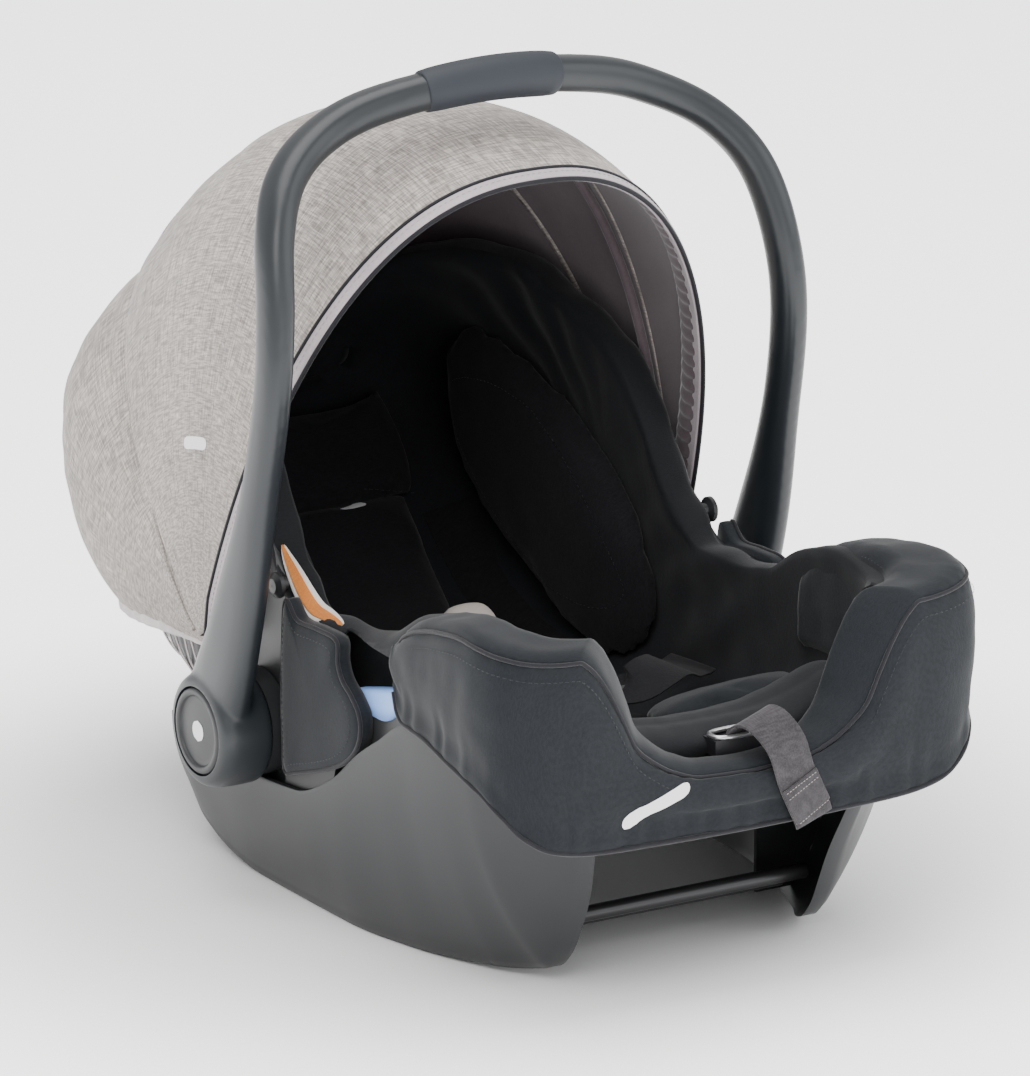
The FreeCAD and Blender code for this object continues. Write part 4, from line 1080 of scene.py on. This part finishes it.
def lay_on(piece, target, offset):
    """Draws a thin piece onto the surface of another one."""
    return modified(piece, "SHRINKWRAP", target=target, wrap_method="NEAREST_SURFACEPOINT",
                    wrap_mode="ABOVE_SURFACE", offset=offset * MM)


def build_harness():
    for name, side in SIDES:
        base = floor_base(0.9)
        line, normals = [], []
        for y in spread(30.0, 214.0, 40):
            p, n = base(side * 103.0, y)
            line.append(p)
            normals.append(n)
        strap = ribbon("shoulder_webbing_" + name, line, normals, 38.0, 1.5)
        finish_piece(strap, BLACKWEB, "carrier", "webbing", "shoulder_strap_" + name)
        key = [(side * 9, -168, 156), (side * 20, -178, 163), (side * 38, -174, 168), (side * 60, -156, 164),
               (side * 84, -130, 150), (side * 104, -108, 142), (side * 118, -96, 140)]
        line = smooth_line(key, 50)
        normals = [Vector((-side * 0.25 * t, -0.5, 1.0)) for t in spread(0, 1, 50)]
        strap = ribbon("lap_webbing_" + name, line, normals, 34.0, 1.5)
        finish_piece(strap, BLACKWEB, "carrier", "webbing", "lap_strap_" + name)
    top = floor_z(0, -110, CAVITY + 18)
    low, high = Vector((0, -88, top - 6)), Vector((0, -110, top + 12))
    line = [low.lerp(high, t) + Vector((0, 2.0 * math.sin(math.pi * t), 3.0 * math.sin(math.pi * t)))
            for t in spread(0, 1, 16)]
    crotch = ribbon("crotch_webbing", line, [Vector((0, 0.6, 1.0))] * 16, 38.0, 2.0)
    finish_piece(crotch, BLACKWEB, "carrier", "webbing", "crotch_strap")

    # tail of the adjuster webbing: out of its slot, over the sill and down the front, a little slewed
    key = [(11, -324, 152), (11, -326, 168), (12, -330, 180), (14, -338, 186), (17, -348, 185), (21, -356.5, 178),
           (25, -361.6, 168), (30, -363.4, 150), (37, -363.6, 134), (43, -363.2, 122), (45, -363, 116)]
    line = smooth_line(key, 60)
    normals = []
    for i, p in enumerate(line):
        along = (line[min(i + 1, 59)] - line[max(i - 1, 0)]).normalized()
        normals.append(Vector((1, 0.12, 0.3)).normalized().cross(along) * -1)
    strap = ribbon("adjuster_webbing", line, normals, 31.0, 1.6)
    finish_piece(strap, WEBBING, "carrier", "webbing", "adjuster_strap")
    tail = ribbon("adjuster_webbing_fold", [p + n * 1.8 for p, n in zip(line[44:57], normals[44:57])], normals[44:57],
                  31.0, 1.4)
    finish_piece(tail, WEBBING, "carrier", "webbing")
    for k, at in enumerate((45, 47, 56)):
        along = line[at] - line[at - 1]
        across = along.cross(normals[at]).normalized()
        seam = [line[at] + normals[at] * 2.9 + across * t for t in spread(-14.0, 14.0, 20)]
        stitch_row("webbing_bar_%d" % k, seam, CANOPY_THREAD, "carrier", 2.2, 1.7, 0.3, "webbing")

    # frame of the adjuster slot
    ring = [(10 + 21 * squared(c, 0.6), -324 + 8.5 * squared(s, 0.6), 172.5) for c, s in circle(72)]
    finish_piece(tube("adjuster_ring", ring, 1.7, closed=True, sides=12), BRIGHT, "carrier", "steel")


def build_sides():
    """Fabric side covers with piped edges, the blue guides, and the inner roll over the front sill."""
    outline = [(-46, 97), (-60, 100), (-96, 112), (-124, 124), (-142, 138), (-149, 153), (-147, 166), (-137, 176),
               (-125, 184), (-119, 195), (-117, 210), (-90, 211), (-64, 210), (-48, 220), (-44, 186), (-43, 150),
               (-44, 120)]
    loop = smooth_line([(0, a, b) for a, b in outline], 160, closed=True)
    centre = Vector((0, -92, 158))

    def ring(side, out, share, puff=0.0):
        """The outline drawn in towards its centre, that far out along X."""
        inner = [centre + (p - centre) * share for p in loop]
        return [(side * (out + (puff * ripple(q, 34.0, 6.0) if puff else 0.0)), q.y, q.z) for q in inner]

    for name, side in SIDES:
        rows = [ring(side, out, share, 1.3 if share < 0.99 else 0.0) for share, out in (
            (1.0, 168.6), (1.004, 173.0), (1.0, 176.5), (0.985, 178.6), (0.955, 180.0), (0.9, 181.0),
            (0.8, 181.8), (0.65, 182.2), (0.45, 182.4), (0.25, 182.4), (0.04, 182.4))]
        cover = grid_piece("side_cover_cloth_" + name, rows, wrap=True, caps=True, flip=side > 0)
        weld(cover, 0.01)
        finish_piece(cover, OUTER, "carrier", "cover_fabric", "side_cover_" + name)
        finish_piece(tube("side_cover_piping_" + name, ring(side, 178.3, 0.992), 1.6, closed=True), PIPING,
                     "carrier", "cover_fabric")
        stitch_row("side_cover_stitch_" + name, ring(side, 182.6, 0.86), DARK_THREAD, "carrier", 4.2,
                   slot="cover_fabric")

        # belt guide: a crescent that fills the lower part of the window, with a rounded upper edge
        rows = []
        for t in spread(-0.70, 0.93, 48):
            y = WINDOW_Y - (WINDOW_HALF - 0.4) * t
            edge = max(0.0, (abs(t) - 0.2) / 0.8)
            bottom = WINDOW_LOW + 0.4 + 0.8 * WINDOW_HALF * (1.0 - math.sqrt(max(0.0, 1.0 - edge ** 2)))
            crest = max(172.0 - 0.27 * (y + 110.0), bottom + 0.8)
            rows.append([(side * x, y, z) for x, z in (
                (153.0, bottom), (153.0, crest - 2.5), (154.2, crest - 0.6), (156.5, crest), (163.5, crest),
                (166.2, crest - 0.8), (167.6, crest - 3.0), (168.4, 0.4 * crest + 0.6 * bottom), (168.2, bottom))])
        guide = grid_piece("belt_guide_trough_" + name, rows, wrap=True, caps=True, flip=side > 0)
        weld(guide, 0.001)
        finish_piece(guide, GUIDE, "carrier", "guide_plastic", "belt_guide_" + name)

    # padded roll across the inside of the front sill, with a sewn line along it
    rows = []
    for t in spread(-1.0, 1.0, 120):
        x = 112.0 * t
        z = 163.0 + 26.0 * abs(t) ** 2.6
        y = -292.0 + 6.0 * t * t
        fat = 14.0 * (1.0 - abs(t) ** 10) ** 0.5
        row = []
        for k in range(40):
            a = 2 * math.pi * k / 40
            r = fat * (1.0 + 0.05 * ripple((x, math.cos(a) * 20, math.sin(a) * 20), 16.0))
            groove = 1.0 - 0.14 * math.exp(-((math.degrees(a) - 95.0) / 7.0) ** 2)
            row.append((x, y + 2.1 * r * math.cos(a), z + 0.95 * r * groove * math.sin(a)))
        rows.append(row)
    roll = grid_piece("front_roll", rows, wrap=True, caps=True)
    weld(roll, 0.01)
    finish_piece(roll, COVER, "carrier", "cover_fabric")

    # label sewn along the left rim: a plain strip with a plain band
    line, normals = [], []
    for y in spread(-14.0, -96.0, 50):
        x = ramp(RIM_HALF, y) - 5.0
        line.append(Vector((-x, y, ramp(RIM_HEIGHT, y) + 5.2)))
        normals.append(Vector((-0.55, -0.25, 0.8)).normalized())
    for name, half, shift, lift, material, node in (("label_patch", 7.5, 0.0, 0.3, LABEL, "side_label"),
                                                    ("label_band", 4.4, 0.4, 0.9, ORANGE, None)):
        rows = []
        for k in range(50):
            taper = math.sin(math.pi * (k + 0.6) / 50.2) ** 0.55
            across = (line[min(k + 1, 49)] - line[max(k - 1, 0)]).cross(normals[k]).normalized()
            rows.append([tuple(line[k] + across * (shift + half * taper * v) + normals[k] * lift)
                         for v in spread(-1.0, 1.0, 9)])
        patch = grid_piece(name, rows)
        thicken(patch, 0.5, 0.0)
        finish_piece(patch, material, "carrier", "label_cloth", *([node] if node else []))

    # heather pad on the crotch strap, just behind the left wing
    pad = pillow("crotch_pad", (0, 0), (21, 17), tilted_base((-24.0, -32.0, 172.0), 34.0), 11.0, (26, 22), corner=0.4)
    finish_piece(plump(pad, 4.0, 3.0, 2.0), CANOPY, "carrier", "insert_fabric")


def tilted_base(origin, degrees):
    """Flat base about a point, leaning towards the foot end."""
    c, s = math.cos(math.radians(degrees)), math.sin(math.radians(degrees))
    normal = Vector((0, -s, c))
    return lambda a, b: (Vector(origin) + Vector((a, b * c, b * s)), normal)


def mark(name, rows, target, body, slot, offset=0.35):
    """Thin plain white print laid on another piece."""
    finish_piece(lay_on(grid_piece(name, rows), bpy.data.objects[target], offset), WHITE, body, slot)


def pill_rows(half_long, half_high, place, count=28):
    """Rows of a rounded bar in two coordinates, put in place by a function."""
    rows = []
    for v in spread(-1.0, 1.0, 9):
        reach = half_long - half_high + half_high * math.sqrt(max(0.0, 1.0 - v * v))
        rows.append([place(u * reach, v * half_high) for u in spread(-1.0, 1.0, count)])
    return rows


def build_marks():
    """Plain bars and dots where the object carries its marks."""
    for name, size, place, target, body, slot in (
            ("apron_mark", (25, 5.0), lambda a, b: Vector((-76 + a, -362, 145.5 + 0.385 * a + b)),
             "front_apron_pad", "carrier", "cover_fabric"),
            ("canopy_mark", (17, 4.5), lambda a, b: leaned(-184.0, 148.0 + b, -12.0 - a * 0.36),
             "canopy_cloth_middle", "canopy_middle", "canopy_fabric"),
            ("insert_mark", (11, 8.5), lambda a, b: Vector((26 + a, 212 + 0.5 * b, 199 + 0.8 * b)),
             "insert_back_cushion", "carrier", "insert_fabric")):
        mark(name, pill_rows(*size, place), target, body, slot)
    for name, side in SIDES:
        mark("hub_mark_" + name, pill_rows(7.5, 7.4, lambda a, b: Vector((side * 221, a, PIVOT.z + b))),
             "hub_cap_" + name, "release_button_" + name, "button_plastic", 0.2)


LOOP_TOP = 150.0


def build_loops():
    """Thin elastic loops that hold the canopy's hem to hooks under the rim."""
    for name, side in SIDES:
        for k, (y, low) in enumerate(((92, 108), (120, 114), (150, 120))):
            right = [(y + dy, z, stand) for dy, z, stand in (
                (-9, LOOP_TOP, 3.0), (-7, 132, 1.4), (-3, low + 3, None), (3, low + 3, None), (7, 132, 1.4),
                (9, LOOP_TOP, 3.0))]
            key = [(side * (wall_x(y, low, 0.0) + 1.2 if stand is None else wall_x(at, z, 0.0) + stand), at, z)
                   for at, z, stand in right]
            finish_piece(tube("elastic_loop_%s_%d" % (name, k), smooth_line(key, 40), 0.8), HEM, "carrier",
                         "canopy_fabric")


def build_small():
    """Looks of the CAD parts that stay as they are."""
    looks = {
        "cross_bar_front": STEEL, "cross_bar_rear": STEEL, "hub_boss_left": SHELL, "hub_boss_right": SHELL,
        "pivot_pin_left": STEEL, "pivot_pin_right": STEEL, "canopy_mount_left": BLACK, "canopy_mount_right": BLACK,
        "rim_knob_left": SHELL, "rim_knob_right": SHELL, "side_bracket_left": BLACK, "side_bracket_right": BLACK,
        "skirt_web_left": SHELL, "skirt_web_right": SHELL, "rear_belt_guide": GUIDE, "buckle_housing": BLACK,
        "buckle_button": RED, "buckle_tongue_left": STEEL, "buckle_tongue_right": STEEL, "adjuster_housing": BLACK,
        "adjuster_button": BLACK, "webbing_under_seat": BLACKWEB, "shell_screws": STEEL,
    }
    for node, material in looks.items():
        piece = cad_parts[node]
        piece.data.materials.clear()
        piece.data.materials.append(material)
        if not node.startswith(("webbing", "shell")):
            edge = piece.modifiers.new("edge", "BEVEL")
            edge.width = 0.6 * MM
            edge.segments = 2
            edge.limit_method = "ANGLE"
            edge.angle_limit = math.radians(40)


# ---------------------------------------------------------------------------
# Floor, light and camera
# ---------------------------------------------------------------------------
def build_stage():
    n = Nodes("studio_floor_with_painted_shadow")
    shade = n.mix((0.93, 0.93, 0.93), (0.96, 0.96, 0.96), n.noise(0.8, detail=2.0))
    n.link(shade, "Color", n.shader, "Base Color")
    n.set(Roughness=0.9, Emission_Color=(1.0, 1.0, 1.0, 1.0))
    # the floor glows away from the object and is left unlit close by it: a painted contact shadow round the object's
    # footprint
    reach = n.add("ShaderNodeVectorMath", operation="LENGTH")
    n.link(n.place((1.0, 1.0, 1.0)), "Vector", reach, "Vector")
    # painted shadow: emission is nil within 0.26 m of the origin and full past 0.62 m, so the floor darkens round the
    # object
    painted_shadow_glow = n.add("ShaderNodeMapRange", interpolation_type="SMOOTHSTEP")
    for socket, value in (("From Min", 0.26), ("From Max", 0.62), ("To Min", 0.0), ("To Max", 1.5)):
        painted_shadow_glow.inputs[socket].default_value = value
    n.tree.links.new(reach.outputs["Value"], painted_shadow_glow.inputs["Value"])
    n.tree.links.new(painted_shadow_glow.outputs["Result"], n.shader.inputs["Emission Strength"])
    across = (-14.0, -4.0, -1.0, 0.0, 1.0, 4.0, 14.0)
    rows = [[(x * 1000, y * 1000, -0.3) for x in across] for y in across]
    floor = grid_piece("studio_floor_with_painted_shadow", rows, flip=True)
    floor.data.materials.append(n.material)
    for name, place, size, power, colour in (
            ("key_light", (-2.2, -2.4, 3.4), 2.6, 95.0, (1.0, 0.985, 0.97)),
            ("fill_light", (2.8, -2.6, 2.2), 3.0, 55.0, (0.97, 0.985, 1.0)),
            ("top_light", (0.0, 0.4, 3.8), 3.2, 120.0, (1.0, 1.0, 1.0)),
            ("front_light", (-0.3, -4.2, 0.9), 2.2, 18.0, (1.0, 1.0, 1.0))):
        data = bpy.data.lights.new(name, "AREA")
        data.energy = power
        data.size = size
        data.color = colour
        lamp = bpy.data.objects.new(name, data)
        lamp.location = place
        lamp.rotation_euler = (Vector((0, 0, 0.2)) - Vector(place)).to_track_quat("-Z", "Y").to_euler()
        bpy.context.scene.collection.objects.link(lamp)
    world = bpy.data.worlds.new("studio")
    bpy.context.scene.world = world
    world.use_nodes = True
    world.node_tree.nodes["Background"].inputs["Color"].default_value = (1, 1, 1, 1)
    world.node_tree.nodes["Background"].inputs["Strength"].default_value = 1.0

    camera = bpy.data.cameras.new("camera")
    camera.sensor_width = 36.0
    camera.sensor_fit = "AUTO"
    camera.lens = 301.1
    camera.clip_end = 40.0
    view = bpy.data.objects.new("camera", camera)
    view.location = (-3.03616, -5.10592, 2.03902)
    target = Vector((0, -0.05289, 0.23673))
    view.rotation_euler = (target - Vector(view.location)).to_track_quat("-Z", "Y").to_euler()
    bpy.context.scene.collection.objects.link(view)
    bpy.context.scene.camera = view


build_shell()
build_cover()
build_skirts()
build_handle()
build_canopy()
build_apron()
build_insert()
build_harness()
build_sides()
build_marks()
build_loops()
build_small()
build_stage()
